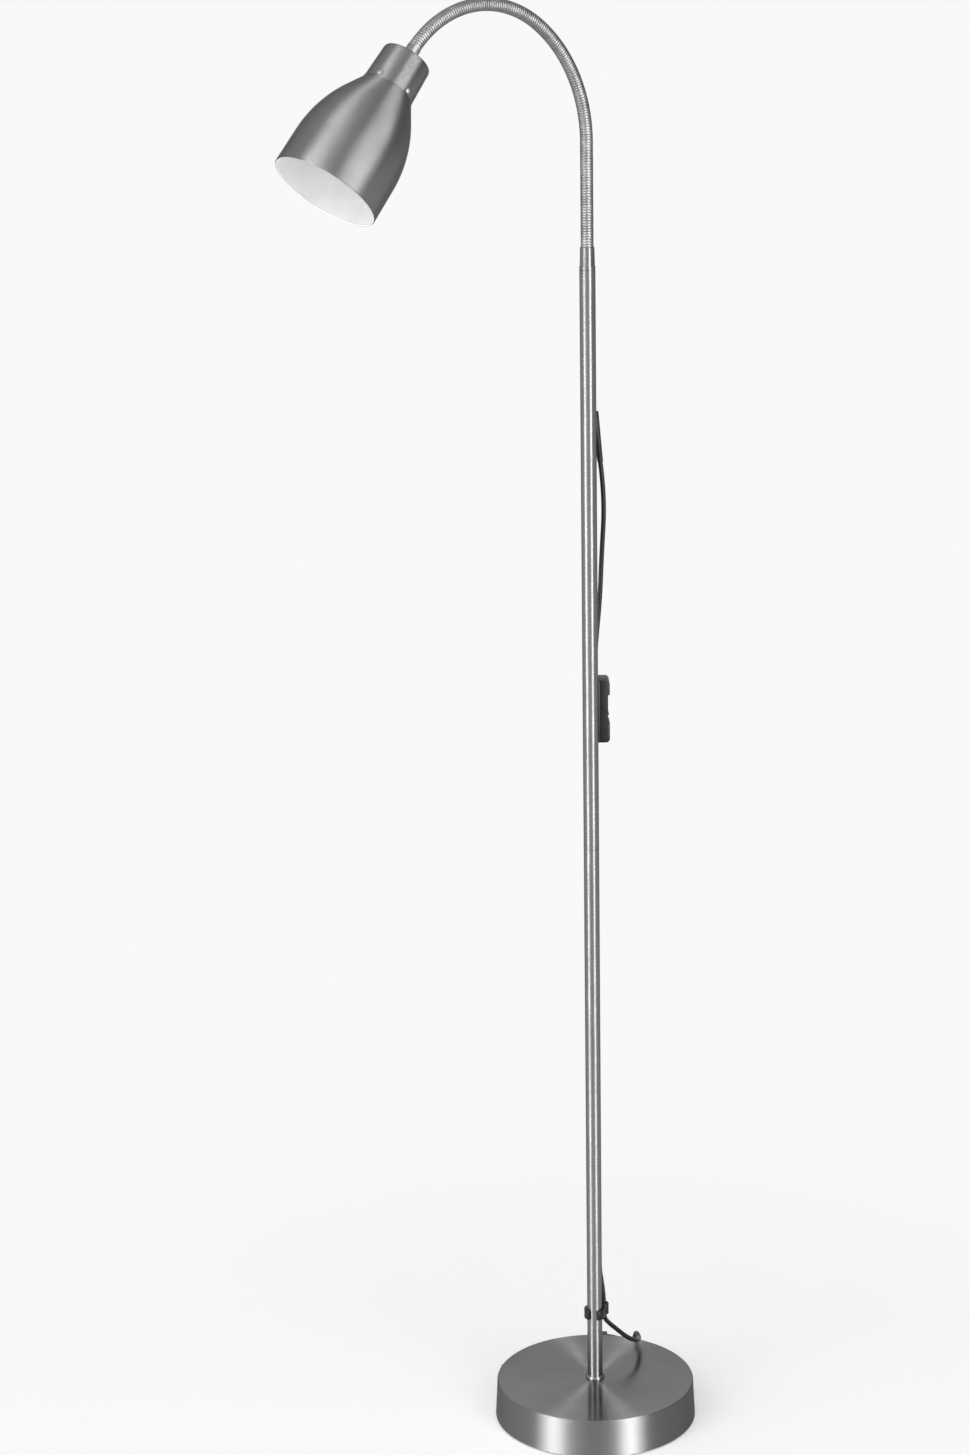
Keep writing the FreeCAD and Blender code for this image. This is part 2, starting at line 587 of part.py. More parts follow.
def head():
    collar = lathe([(0, 0), (COLLAR_TOP_R, 0), (COLLAR_FOOT_R, COLLAR_LENGTH), (0, COLLAR_LENGTH)])
    top = [e for e in collar.Edges if e.BoundBox.ZMax < 0.01 and e.BoundBox.XLength > COLLAR_TOP_R]
    collar = collar.makeFillet(COLLAR_EDGE_ROUND, top)
    neck_top = COLLAR_LENGTH - SHADE_NECK_LENGTH
    neck_r = COLLAR_FOOT_R - COLLAR_WALL
    hollow = lathe([
        (0, COLLAR_WALL), (COLLAR_TOP_R - COLLAR_EDGE_ROUND, COLLAR_WALL),
        (collar_radius(COLLAR_EDGE_ROUND) - COLLAR_WALL, COLLAR_EDGE_ROUND),
        (collar_radius(neck_top) - COLLAR_WALL, neck_top),
        (neck_r, COLLAR_LENGTH), (neck_r, COLLAR_LENGTH + 1), (0, COLLAR_LENGTH + 1)])
    fitted_shade = shade()
    collar = collar.cut(hollow).cut(rod(NIPPLE_R, -1, COLLAR_WALL + 1)).cut(rod(neck_r, neck_top, COLLAR_LENGTH))
    for hole in around(shade_screw_hole(), SHADE_SCREWS, SHADE_SCREW_AZIMUTH):
        collar = collar.cut(hole)
        fitted_shade = fitted_shade.cut(hole)
    save("head_collar", on_head(collar))
    save("shade", on_head(fitted_shade))
    save("shade_screws", on_head(Part.makeCompound(around(shade_screw(), SHADE_SCREWS, SHADE_SCREW_AZIMUTH))))


def lampholder():
    """Screw-base lampholder hung from the neck's nipple: cap, body, threaded shell, contact and lock nut."""
    cap_end = HOLDER_CAP_START + HOLDER_CAP_LENGTH
    nut_top = COLLAR_WALL
    save("lampholder_nut", on_head(hexagon(NIPPLE_NUT_FLATS, nut_top, nut_top + NIPPLE_NUT_HEIGHT).cut(
        rod(NIPPLE_R, nut_top, nut_top + NIPPLE_NUT_HEIGHT))))
    cap = lathe([(NIPPLE_R, HOLDER_CAP_START), (HOLDER_TOP_R, HOLDER_CAP_START), (HOLDER_R, cap_end - 4),
                 (HOLDER_R, cap_end), (HOLDER_R - 2, cap_end), (HOLDER_R - 2, cap_end - 3),
                 (HOLDER_TOP_R - 2, HOLDER_CAP_START + 3), (NIPPLE_R, HOLDER_CAP_START + 3)])
    save("lampholder_cap", on_head(cap))
    shell_outer = HOLDER_SHELL_R + HOLDER_SHELL_WALL
    shell_low = HOLDER_END - HOLDER_MOUTH_LIP - HOLDER_SHELL_LENGTH
    body = lathe([(0, cap_end), (HOLDER_R, cap_end), (HOLDER_R, HOLDER_END), (HOLDER_SHELL_R + 1, HOLDER_END),
                  (shell_outer, HOLDER_END - HOLDER_MOUTH_LIP), (shell_outer, cap_end + HOLDER_FLOOR),
                  (0, cap_end + HOLDER_FLOOR)])
    save("lampholder_body", on_head(body))
    save("lampholder_shell", on_head(tube(shell_outer, HOLDER_SHELL_R, shell_low, HOLDER_END - HOLDER_MOUTH_LIP)))
    save("lampholder_contact", on_head(rod(CONTACT_R, cap_end + HOLDER_FLOOR, cap_end + HOLDER_FLOOR + CONTACT_HEIGHT)))


# ---------------------------------------------------------------- mains lead
def arc_middle(start, corner, end):
    """Middle of the arc that leaves start and reaches end along two equal tangents that meet at corner."""
    chord_middle = (start + end) * 0.5
    half_cos = (end - start).Length / 2 / (corner - start).Length
    return chord_middle + (corner - chord_middle) * (half_cos / (1 + half_cos))


def rounded_path(points, name):
    """Straight runs joined by tangent arcs. Prints the arcs' radii."""
    edges = []
    radii = []
    here = points[0]
    for before, corner, after in zip(points, points[1:], points[2:]):
        reach = 0.45 * min((corner - before).Length, (after - corner).Length)
        enter = corner + (before - corner).normalize() * reach
        leave = corner + (after - corner).normalize() * reach
        edges.append(Part.LineSegment(here, enter).toShape())
        edges.append(Part.Arc(enter, arc_middle(enter, corner, leave), leave).toShape())
        half_turn = (corner - before).getAngle(after - corner) / 2
        radii.append(reach / math.tan(half_turn))
        here = leave
    edges.append(Part.LineSegment(here, points[-1]).toShape())
    print(name, "radii", ["%.0f" % r for r in radii])
    return Part.Wire(edges)


def cord_tube(path, name):
    """Lead's solid along a path: a six-sided section as large as the round one. Prints a volume check."""
    start = path.OrderedVertexes[0].Point
    first = path.OrderedEdges[0]
    heading = first.tangentAt(first.FirstParameter)
    side = heading.cross(Z_AXIS)
    if side.Length < 0.01:
        side = V(1, 0, 0)
    side = (side - heading * side.dot(heading)).normalize()
    turns = [2 * math.pi * i / CORD_SIDES for i in range(CORD_SIDES + 1)]
    corners = [V(CORD_POINT_R * math.cos(t), CORD_POINT_R * math.sin(t), 0) for t in turns]
    section = placed(Part.makePolygon(corners), start, heading, side)
    solid = path.makePipeShell([section], True, False)
    print(name, "length %.0f" % path.Length, "volume ratio %.3f" % (solid.Volume / (math.pi * CORD_R ** 2 * path.Length)))
    return solid


def coil_state(turn):
    """Radius and height of the coil's line after a number of turns: in, up a layer, and out again."""
    climb = COIL_TURNS * COIL_CLIMB_ARCS / COIL_ARCS
    middle = COIL_TURNS / 2
    risen = min(1.0, max(0.0, (turn - middle) / climb + 0.5))
    rise = COIL_LAYER_STEP * (1 - math.cos(math.pi * risen)) / 2
    return COIL_R - COIL_PITCH * (middle - abs(turn - middle)), COIL_Z + rise


def coil_point(turn):
    """Point of the coil's line after a number of turns."""
    radius, height = coil_state(turn)
    angle = 2 * math.pi * turn
    return V(COIL_X + radius * math.cos(angle), COIL_Y + radius * math.sin(angle), height)


def coil_heading(turn):
    """Direction of the coil's line, square to the radius at both ends."""
    step = 0.001
    if turn <= 0 or turn >= COIL_TURNS:
        angle = 2 * math.pi * turn
        return V(-math.sin(angle), math.cos(angle), 0)
    return (coil_point(turn + step) - coil_point(turn - step)).normalize()


def biarc(start, start_dir, end, end_dir):
    """Two arcs that leave start and reach end in the given directions."""
    across = end - start
    both = start_dir + end_dir
    spread = 2 * (1 - start_dir.dot(end_dir))
    reach = (-across.dot(both) + math.sqrt(across.dot(both) ** 2 + spread * across.dot(across))) / spread
    corner_1 = start + start_dir * reach
    corner_2 = end - end_dir * reach
    middle = (corner_1 + corner_2) * 0.5
    return [Part.Arc(start, arc_middle(start, corner_1, middle), middle).toShape(),
            Part.Arc(middle, arc_middle(middle, corner_2, end), end).toShape()]


def coil():
    """Spare lead wound in two layers as one unbroken tube."""
    marks = [COIL_TURNS * i / COIL_ARCS for i in range(COIL_ARCS + 1)]
    edges = []
    for first, second in zip(marks, marks[1:]):
        edges += biarc(coil_point(first), coil_heading(first), coil_point(second), coil_heading(second))
    samples = [coil_point(COIL_TURNS * i / 400) for i in range(401)]
    least = 1e9
    for i, one in enumerate(samples):
        for other in samples[i + 60:]:
            flat = math.hypot(one.x - other.x, one.y - other.y) - 2 * CORD_POINT_R
            upright = abs(one.z - other.z) - 2 * CORD_FLAT_R
            least = min(least, max(flat, upright, (one - other).Length - 2 * CORD_POINT_R))
    print("coil least gap %.2f" % least)
    return cord_tube(Part.Wire(edges), "coil")


def coil_tie():
    """Strap round the coil's bundle, where its turns run across X."""
    inner_r = coil_state(COIL_TURNS / 2)[0] - CORD_POINT_R - TIE_GAP
    outer_r = COIL_R + CORD_POINT_R + TIE_GAP
    low = COIL_Z - CORD_FLAT_R - TIE_GAP
    high = COIL_Z + COIL_LAYER_STEP + CORD_FLAT_R + TIE_GAP
    wide = outer_r - inner_r
    outside = Part.makeBox(TIE_WIDTH, wide + 2 * TIE_WALL, high - low + 2 * TIE_WALL,
                           V(COIL_X - TIE_WIDTH / 2, COIL_Y + inner_r - TIE_WALL, low - TIE_WALL))
    inside = Part.makeBox(TIE_WIDTH, wide, high - low, V(COIL_X - TIE_WIDTH / 2, COIL_Y + inner_r, low))
    return outside.cut(inside)


def plug_heading():
    """Direction in which the plug's pins point."""
    turn = math.radians(PLUG_HEADING)
    return V(math.cos(turn), math.sin(turn), 0)


def plug():
    """Flat two-pin plug with moulded relief, lying on the floor beside the coil."""
    heading = plug_heading()
    centre = V(PLUG_X, PLUG_Y, PLUG_THICK / 2)
    half = PLUG_LENGTH / 2
    block = Part.makeBox(PLUG_THICK, PLUG_WIDTH, PLUG_LENGTH, V(-PLUG_THICK / 2, -PLUG_WIDTH / 2, -half))
    long_edges = [e for e in block.Edges if e.BoundBox.ZLength > PLUG_LENGTH - 1]
    body = block.makeFillet(PLUG_ROUND, long_edges)
    relief = Part.makeCone(CORD_POINT_R + 0.4, PLUG_THICK / 2 - PLUG_ROUND, PLUG_RELIEF_LENGTH,
                           V(0, 0, -half - PLUG_RELIEF_LENGTH))
    save("plug_body", placed(body.fuse(relief), centre, heading, Z_AXIS))
    pins = []
    for side in (-1, 1):
        place = V(0, side * PLUG_PIN_SPACING / 2, half)
        pins.append(Part.makeCylinder(PLUG_PIN_R, PLUG_PIN_LENGTH, place))
    save("plug_pins", placed(Part.makeCompound(pins), centre, heading, Z_AXIS))


def cord_tail_points():
    """Lead from the coil's end to the plug's relief."""
    start = coil_point(COIL_TURNS)
    end = V(PLUG_X, PLUG_Y, PLUG_THICK / 2) - plug_heading() * (PLUG_LENGTH / 2 + PLUG_RELIEF_LENGTH)
    share = (end - start).Length * 0.37
    return (start, start + coil_heading(COIL_TURNS) * share, end - plug_heading() * share, end)


def cords():
    save("cord_upper", cord_tube(rounded_path(CORD_UPPER_POINTS, "upper"), "upper"))
    save("cord_run", cord_tube(rounded_path(CORD_RUN_POINTS, "run"), "run"))
    save("cord_lower", cord_tube(rounded_path(CORD_LOWER_POINTS, "lower"), "lower"))
    save("cord_coil", coil())
    save("cord_tail", cord_tube(rounded_path(cord_tail_points(), "tail"), "tail"))
    save("cord_tie", coil_tie())


def cord_relief():
    """Moulded relief on the pole: a plug through the wall and a tapering sleeve round the lead."""
    down = RELIEF_END - RELIEF_TOP
    sleeve = Part.makeCone(RELIEF_TOP_R, RELIEF_END_R, down.Length, RELIEF_TOP, down)
    sleeve = sleeve.cut(rod(POLE_R, RELIEF_END.z - 5, RELIEF_TOP.z + 10))
    out = relief_direction()
    inner = POLE_BORE_R - 1
    stub = Part.makeCylinder(EXIT_HOLE_R, POLE_R + 1 - inner, V(0, 0, EXIT_Z) + out * inner, out)
    save("cord_relief", sleeve.fuse(stub))


def cord_clip():
    """Spring clip round the pole with a loop that holds the lead."""
    outer = POLE_R + CLIP_WALL
    ring = tube(outer, POLE_R, CLIP_Z, CLIP_Z + CLIP_HEIGHT)
    loop = rod(CLIP_LOOP_R, CLIP_Z, CLIP_Z + CLIP_LOOP_HEIGHT, CLIP_LOOP_X, CLIP_LOOP_Y)
    loop = loop.cut(rod(POLE_R, CLIP_Z, CLIP_Z + CLIP_LOOP_HEIGHT))
    bore = rod(CORD_R + CLIP_CORD_CLEARANCE, CLIP_Z, CLIP_Z + CLIP_LOOP_HEIGHT, CLIP_LOOP_X, CLIP_LOOP_Y)
    first, last = CLIP_MOUTH
    mouth = Part.makeCylinder(2 * outer, CLIP_HEIGHT, V(0, 0, CLIP_Z), Z_AXIS, last - first)
    mouth.rotate(V(0, 0, 0), Z_AXIS, first)
    save("cord_clip", ring.fuse(loop).cut(bore).cut(mouth))


# ---------------------------------------------------------------- switch on the lead
def rocker():
    """Rocker that turns about Y on two trunnions. Its ends are arcs about the pivot."""
    low = -ROCKER_DROP
    low_reach = math.sqrt(ROCKER_R ** 2 - low ** 2)
    side_angle = (math.atan2(low, low_reach) + math.atan2(ROCKER_EDGE_HEIGHT, ROCKER_HALF_LENGTH)) / 2
    belly = V(ROCKER_R * math.sin(side_angle), 0, ROCKER_R * math.cos(side_angle))
    top = V(ROCKER_EDGE_HEIGHT, 0, ROCKER_HALF_LENGTH)
    foot = V(low, 0, low_reach)
    flip = FreeCAD.Rotation(V(1, 0, 0), 180)
    centre = V(ROCKER_MIDDLE_HEIGHT, 0, 0)
    edges = [
        Part.LineSegment(centre, top).toShape(),
        Part.Arc(top, belly, foot).toShape(),
        Part.LineSegment(foot, flip.multVec(foot)).toShape(),
        Part.Arc(flip.multVec(foot), flip.multVec(belly), flip.multVec(top)).toShape(),
        Part.LineSegment(flip.multVec(top), centre).toShape(),
    ]
    face = Part.Face(Part.Wire(edges))
    face.translate(V(0, -ROCKER_HALF_WIDTH, 0))
    solid = face.extrude(V(0, 2 * ROCKER_HALF_WIDTH, 0))
    reach = ROCKER_HALF_WIDTH + TRUNNION_LENGTH
    solid = solid.fuse(Part.makeCylinder(TRUNNION_R, 2 * reach, V(0, -reach, 0), V(0, 1, 0)))
    solid.rotate(V(0, 0, 0), V(0, 1, 0), -ROCKER_TILT)
    solid.translate(ROCKER_PIVOT)
    return solid


def switch():
    middle_y = SWITCH_CORD_Y
    block = Part.makeBox(SWITCH_DEPTH, SWITCH_WIDTH, SWITCH_LENGTH,
                         V(SWITCH_BACK_X, middle_y - SWITCH_WIDTH / 2, SWITCH_BOTTOM))
    block = block.makeFillet(SWITCH_ROUND, [e for e in block.Edges if e.BoundBox.YLength > SWITCH_WIDTH - 1])
    wall = SWITCH_WALL
    cavity = Part.makeBox(SWITCH_FACE_X - SWITCH_BACK_X - 2 * wall, SWITCH_WIDTH - 2 * wall, SWITCH_LENGTH - 2 * wall,
                          V(SWITCH_BACK_X + wall, middle_y - SWITCH_WIDTH / 2 + wall, SWITCH_BOTTOM + wall))
    housing = block.cut(cavity)
    pivot = ROCKER_PIVOT
    recess = Part.makeBox(SWITCH_RECESS + 1, SWITCH_WIDTH + 2, 2 * SWITCH_RECESS_HALF,
                          V(SWITCH_FACE_X, middle_y - SWITCH_WIDTH / 2 - 1, pivot.z - SWITCH_RECESS_HALF))
    housing = housing.cut(recess)
    opening_half = math.sqrt(ROCKER_R ** 2 - (SWITCH_FACE_X - wall - pivot.x) ** 2) + ROCKER_GAP
    opening = Part.makeBox(wall + 2, 2 * (ROCKER_HALF_WIDTH + ROCKER_GAP), 2 * opening_half,
                           V(SWITCH_FACE_X - wall - 1, middle_y - ROCKER_HALF_WIDTH - ROCKER_GAP, pivot.z - opening_half))
    housing = housing.cut(opening)
    ear_in = ROCKER_HALF_WIDTH + ROCKER_GAP
    for side in (-1, 1):
        ear_low = middle_y + (ear_in if side > 0 else -ear_in - TRUNNION_LENGTH)
        ear = Part.makeBox(SWITCH_FACE_X - pivot.x + SWITCH_EAR_BELOW - 1, TRUNNION_LENGTH, 2 * SWITCH_EAR_HALF,
                           V(pivot.x - SWITCH_EAR_BELOW, ear_low, pivot.z - SWITCH_EAR_HALF))
        housing = housing.fuse(ear)
    bearing = Part.makeCylinder(TRUNNION_R + TRUNNION_CLEARANCE, SWITCH_WIDTH - 2 * wall,
                                V(pivot.x, middle_y - SWITCH_WIDTH / 2 + wall, pivot.z), V(0, 1, 0))
    housing = housing.cut(bearing)
    screws = []
    for side in (-1, 1):
        y = middle_y + side * SWITCH_POST_ASIDE
        z = SWITCH_BOTTOM + SWITCH_LENGTH / 2 + side * SWITCH_POST_ALONG
        back = V(SWITCH_BACK_X, y, z)
        post = Part.makeCylinder(SWITCH_POST_R, SWITCH_FACE_X - SWITCH_BACK_X, back, V(1, 0, 0))
        screw_end = SWITCH_FACE_X - SWITCH_BACK_X - wall
        screw = Part.makeCylinder(SWITCH_SCREW_R, screw_end, back, V(1, 0, 0))
        screw = screw.fuse(Part.makeCylinder(SWITCH_SCREW_HEAD_R, SWITCH_SCREW_HEAD_HEIGHT, back, V(1, 0, 0)))
        housing = housing.fuse(post).cut(screw)
        screws.append(screw)
    save("switch_screws", Part.makeCompound(screws))
    back_half = Part.makeBox(SWITCH_SEAM_X - SWITCH_BACK_X, SWITCH_WIDTH, SWITCH_LENGTH,
                             V(SWITCH_BACK_X, middle_y - SWITCH_WIDTH / 2, SWITCH_BOTTOM))
    save("switch_back_shell", housing.common(back_half))
    save("switch_front_shell", housing.cut(back_half))
    save("switch_rocker", rocker())


def build():
    os.makedirs("parts", exist_ok=True)
    base()
    pole()
    neck()
    head()
    lampholder()
    cord_relief()
    cord_clip()
    cords()
    plug()
    switch()


build()
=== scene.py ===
import math

import bpy
from mathutils import Matrix, Vector


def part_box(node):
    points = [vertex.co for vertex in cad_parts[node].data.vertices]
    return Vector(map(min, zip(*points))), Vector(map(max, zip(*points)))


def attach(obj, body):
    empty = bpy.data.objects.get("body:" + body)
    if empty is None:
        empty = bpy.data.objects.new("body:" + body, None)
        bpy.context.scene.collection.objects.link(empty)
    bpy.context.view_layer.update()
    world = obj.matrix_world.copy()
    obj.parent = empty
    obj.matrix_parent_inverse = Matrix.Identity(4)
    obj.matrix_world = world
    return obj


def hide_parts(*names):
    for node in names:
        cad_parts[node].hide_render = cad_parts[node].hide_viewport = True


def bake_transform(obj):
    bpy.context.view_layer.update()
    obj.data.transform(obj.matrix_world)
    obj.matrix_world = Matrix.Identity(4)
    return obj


# Dressing of the gooseneck reading lamp, in metres and in the part's own frame: +Z up, the base's centre at
# the origin. The camera looks along +Y at the lamp, whose head leans over to -X and towards the camera.
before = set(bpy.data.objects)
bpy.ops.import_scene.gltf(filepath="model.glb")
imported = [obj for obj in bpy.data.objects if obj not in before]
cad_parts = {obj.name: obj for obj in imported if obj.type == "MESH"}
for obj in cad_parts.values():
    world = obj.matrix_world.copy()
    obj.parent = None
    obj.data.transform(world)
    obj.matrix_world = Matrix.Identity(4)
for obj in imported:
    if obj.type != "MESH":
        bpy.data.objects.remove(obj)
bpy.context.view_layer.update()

MM = 0.001
UP = Vector((0, 0, 1))
WELD = 0.002 * MM
FLAT_WITHIN = math.radians(1.0)

# ---------------------------------------------------------------- places read from the parts in model.glb
base_low, base_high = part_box("base_cover")
foot_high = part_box("pole_foot")[1]
lower_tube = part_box("pole_lower")
upper_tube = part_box("pole_upper")
BASE_LIFT = base_low.z
BASE_BOTTOM_R = base_high.x
BASE_TOP = base_high.z
FOOT_R = foot_high.x
FOOT_TOP = foot_high.z
POLE_R = lower_tube[1].x
POLE_TOP = upper_tube[1].z
NECK_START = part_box("neck_ferrule")[1].z

# ---------------------------------------------------------------- sizes
RING_SIDES = 128

# base, foot, pole and ferrule
BASE_FLARE = 2.1 * MM
BASE_TOP_R = BASE_BOTTOM_R - BASE_FLARE
BASE_EDGE = 1.8 * MM
BASE_SIDES = 192
BASE_TOP_RINGS = (0.6, 0.25)
TOP_FACES_FROM = 0.9
BASE_SKIN = 1.2 * MM
BOLT_HOLE_R = 5.5 * MM
FOOT_TOP_R = 9.0 * MM
FOOT_LIP = 0.8 * MM
FOOT_SIDES = 96
TUBE_WALL = 1.2 * MM
TUBE_SIDES = 64
FERRULE_TOP_R = 7.15 * MM
FERRULE_RING = 4.0 * MM
FERRULE_GROOVE = 0.5 * MM
SOFT_EDGE = 0.3 * MM

# gooseneck
NECK_AZIMUTH = math.radians(218.4)
NECK_OUT = Vector((math.cos(NECK_AZIMUTH), math.sin(NECK_AZIMUTH), 0))
NECK_SIDE = NECK_OUT.cross(UP)
NECK_R = 6.4 * MM
NECK_FOOT = 101.5 * MM
NECK_ARCS = ((138.4 * MM, math.radians(56.3)), (113.7 * MM, math.radians(83.5)))
NECK_END = 8.6 * MM
NECK_LENGTH = NECK_FOOT + sum(r * turn for r, turn in NECK_ARCS) + NECK_END
NECK_TURN = sum(turn for r, turn in NECK_ARCS)
SLEEVE_LENGTH = 13.0 * MM
SLEEVE_R = 6.8 * MM
SLEEVE_MOUTH_R = NECK_R - 1.0 * MM
SLEEVE_RINGS = 5
SLEEVE_SIDES = 48
SIDE_JOINTS = (32.0 * MM, 84.0 * MM)
BEND_JOINTS = 5
RIB_PITCH = 2.6 * MM
RIB_DEPTH = 0.28 * MM
RIB_PROFILE = ((0.12, 0.8), (0.5, 1.0), (0.88, 0.8), (1.0, 0.0))
RIB_SIDES = 28
ARC_PARTS = 3

# head
COLLAR_TOP_R = 24.2 * MM
COLLAR_FOOT_R = 25.65 * MM
COLLAR_LENGTH = 37.5 * MM
COLLAR_EDGE = 3.0 * MM
COLLAR_WALL = 1.2 * MM
SHADE_WALL = 1.0 * MM
SHADE_NECK = 14.0 * MM
SHADE_CONE = math.radians(29.2)
SHADE_SHOULDER_R = 126.0 * MM
SHADE_RIM_SLOPE = math.radians(0.7)
SHADE_RIM_R = 53.1 * MM
SHADE_RIM_AT = 152.5 * MM
SHADE_ROLL = 0.9 * MM
SCREWS = 5
SCREW_AT = 34.6 * MM
SCREW_FIRST = math.radians(84.0)
SCREW_R = 2.2 * MM
SCREW_HEIGHT = 1.4 * MM
SCREW_DOME = 0.6 * MM
RECESS_SIZE = (2.6 * MM, 0.5 * MM, 1.2 * MM)

# mains lead: its routes are lists of places in millimetres
CORD_R = 2.5 * MM
RELIEF_END = (12.0, 12.1, 1036.5)
SWITCH_TOP = (5.2, 22.5, 810.8)
SWITCH_BOTTOM = (5.2, 22.5, 745.5)
COIL_X = 14.0
COIL_Y = 140.7
COIL_Z = 3.481
COIL_R = 30.7
COIL_PITCH = 6.1
COIL_STEP = 5.3
COIL_TURNS = 3.45
COIL_POINTS = 50
COIL_CLIMB = COIL_TURNS / 7  # turns over which the lead climbs from the lower layer to the upper one
PLUG_X = -64.5
PLUG_Y = 110.0
PLUG_Z = 6.85
PLUG_HEADING = math.radians(210.0)
PLUG_BACK = 31.0
TAIL_SHARE = 0.37

# steel's tone, and the tone that it keeps where it is seen edge-on
STEEL = 0.23
STEEL_EDGE = 0.4

# camera, room and lights
CAMERA_AT = (-0.1080, -3.0817, 1.5394)
CAMERA_LENS = 76.85
CAMERA_PITCH = math.radians(14.093)
CAMERA_ROLL = math.radians(-0.894)
BACKGROUND = 0.945
ROOM_LEVEL = 0.72
ROOM_DIM_SIDE = 0.4
ROOM_DIM_FROM = (0.3, 0.9)  # how far a ray points to the right where the room starts and ends to dim
PANEL_DISTANCE = 2.4
PANEL_HEIGHT = 3.4
PANEL_SUNK = 0.05
# name, turn from the camera's side in degrees (+ to the right), width, level on everything,
# level in reflections alone
PANELS = (
    ("left_bright", -52, 0.85, 2.2, 34.0),
    ("left_dim", -33, 0.75, 0.9, 4.5),
    ("right_bright", 39, 0.75, 2.2, 34.0),
    ("right_dim", 23, 0.45, 0.9, 4.5),
)
FLOOR_R = 9.0
FLOOR_TONE = 0.88
FLOOR_LIFT = 0.18
FLOOR_FADE = (0.2, 0.9)


# ---------------------------------------------------------------- the neck's line
def neck_inward(turn):
    """Direction from the neck's line to its centre of bend, after a turn away from straight up."""
    return NECK_OUT * math.cos(turn) - UP * math.sin(turn)


def neck_at(length):
    """Point and direction of the neck's line at a length above the ferrule."""
    here = Vector((0, 0, NECK_START + min(length, NECK_FOOT)))
    turned_by = 0.0
    left = length - NECK_FOOT
    for radius, turn in NECK_ARCS:
        if left <= 0:
            break
        step = min(left / radius, turn)
        centre = here + neck_inward(turned_by) * radius
        turned_by += step
        here = centre - neck_inward(turned_by) * radius
        left -= radius * turn
    heading = NECK_OUT * math.sin(turned_by) + UP * math.cos(turned_by)
    if left > 0:
        here = here + heading * left
    return here, heading


HEAD_AT, HEAD_AXIS = neck_at(NECK_LENGTH)
HEAD_CROSS = HEAD_AXIS.cross(NECK_SIDE)


# ---------------------------------------------------------------- shared steps
def deselect_all():
    bpy.ops.object.select_all(action="DESELECT")


def activate(obj):
    deselect_all()
    obj.select_set(True)
    bpy.context.view_layer.objects.active = obj


def finish_mesh(obj, sharp=35.0):
    """Welds doubles, turns the faces outwards and smooths all but the sharp edges."""
    activate(obj)
    bpy.ops.object.mode_set(mode="EDIT")
    bpy.ops.mesh.select_all(action="SELECT")
    bpy.ops.mesh.remove_doubles(threshold=WELD)
    bpy.ops.mesh.normals_make_consistent(inside=False)
    bpy.ops.object.mode_set(mode="OBJECT")
    bpy.ops.object.shade_smooth_by_angle(angle=math.radians(sharp))
    return obj


def turned(name, stations, sides=RING_SIDES):
    """Piece turned about Z through (radius, height) stations. Its ends are filled unless they meet."""
    deselect_all()
    radius, height = stations[0]
    bpy.ops.mesh.primitive_circle_add(vertices=sides, radius=radius, fill_type="NOTHING",
                                      location=(0, 0, height))
    obj = bpy.context.object
    obj.name = name
    bpy.ops.object.transform_apply(location=True, rotation=True, scale=True)
    bpy.ops.object.mode_set(mode="EDIT")
    bpy.ops.mesh.select_all(action="SELECT")
    for next_radius, next_height in stations[1:]:
        bpy.ops.mesh.extrude_edges_move(TRANSFORM_OT_translate={"value": (0, 0, next_height - height)})
        share = next_radius / radius
        bpy.ops.transform.resize(value=(share, share, 1), center_override=(0, 0, next_height))
        radius, height = next_radius, next_height
    bpy.ops.mesh.select_all(action="SELECT")
    bpy.ops.mesh.remove_doubles(threshold=WELD)
    bpy.ops.mesh.select_all(action="DESELECT")
    bpy.ops.mesh.select_mode(type="EDGE")
    bpy.ops.mesh.select_non_manifold(extend=False)
    bpy.ops.mesh.fill_holes(sides=0)
    bpy.ops.object.mode_set(mode="OBJECT")
    return finish_mesh(obj)


def rounded(centre_r, centre_z, radius, first, last, steps=5):
    """Stations on an arc about (centre_r, centre_z), by angles in degrees from the outward direction."""
    angles = [math.radians(first + (last - first) * i / steps) for i in range(steps + 1)]
    return [(centre_r + radius * math.cos(a), centre_z + radius * math.sin(a)) for a in angles]


def place(obj, origin, z_dir, x_dir):
    """Moves a piece made at the origin to its place and writes that place into its mesh."""
    z = Vector(z_dir).normalized()
    x = Vector(x_dir).normalized()
    y = z.cross(x)
    obj.matrix_world = Matrix((
        (x.x, y.x, z.x, origin[0]),
        (x.y, y.y, z.y, origin[1]),
        (x.z, y.z, z.z, origin[2]),
        (0, 0, 0, 1)))
    activate(obj)
    bpy.ops.object.transform_apply(location=True, rotation=True, scale=True)
    return obj


def dress(obj, body, material, slot, *nodes):
    """Gives a piece its finish and body, and the nodes that it stands for."""
    obj.data.materials.clear()
    obj.data.materials.append(material)
    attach(obj, body)
    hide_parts(*nodes)
    return obj


# ---------------------------------------------------------------- node helpers
NOISE_LOW = 0.3
NOISE_HIGH = 0.7


def node(tree, kind, inputs=None, **settings):
    """Adds a node. An input's value is a number, a colour or another node's socket."""
    made = tree.nodes.new(kind)
    for key, value in settings.items():
        setattr(made, key, value)
    for key, value in (inputs or {}).items():
        if isinstance(value, bpy.types.NodeSocket):
            tree.links.new(value, made.inputs[key])
        else:
            made.inputs[key].default_value = value
    return made


def math_node(tree, operation, *values):
    return node(tree, "ShaderNodeMath", dict(enumerate(values)), operation=operation).outputs[0]


def vector_node(tree, operation, *values):
    return node(tree, "ShaderNodeVectorMath", dict(enumerate(values)), operation=operation).outputs[0]


def scaled(tree, vector, amount):
    return node(tree, "ShaderNodeVectorMath", {0: vector, "Scale": amount}, operation="SCALE").outputs[0]


def grey(value):
    return (value, value, value, 1)


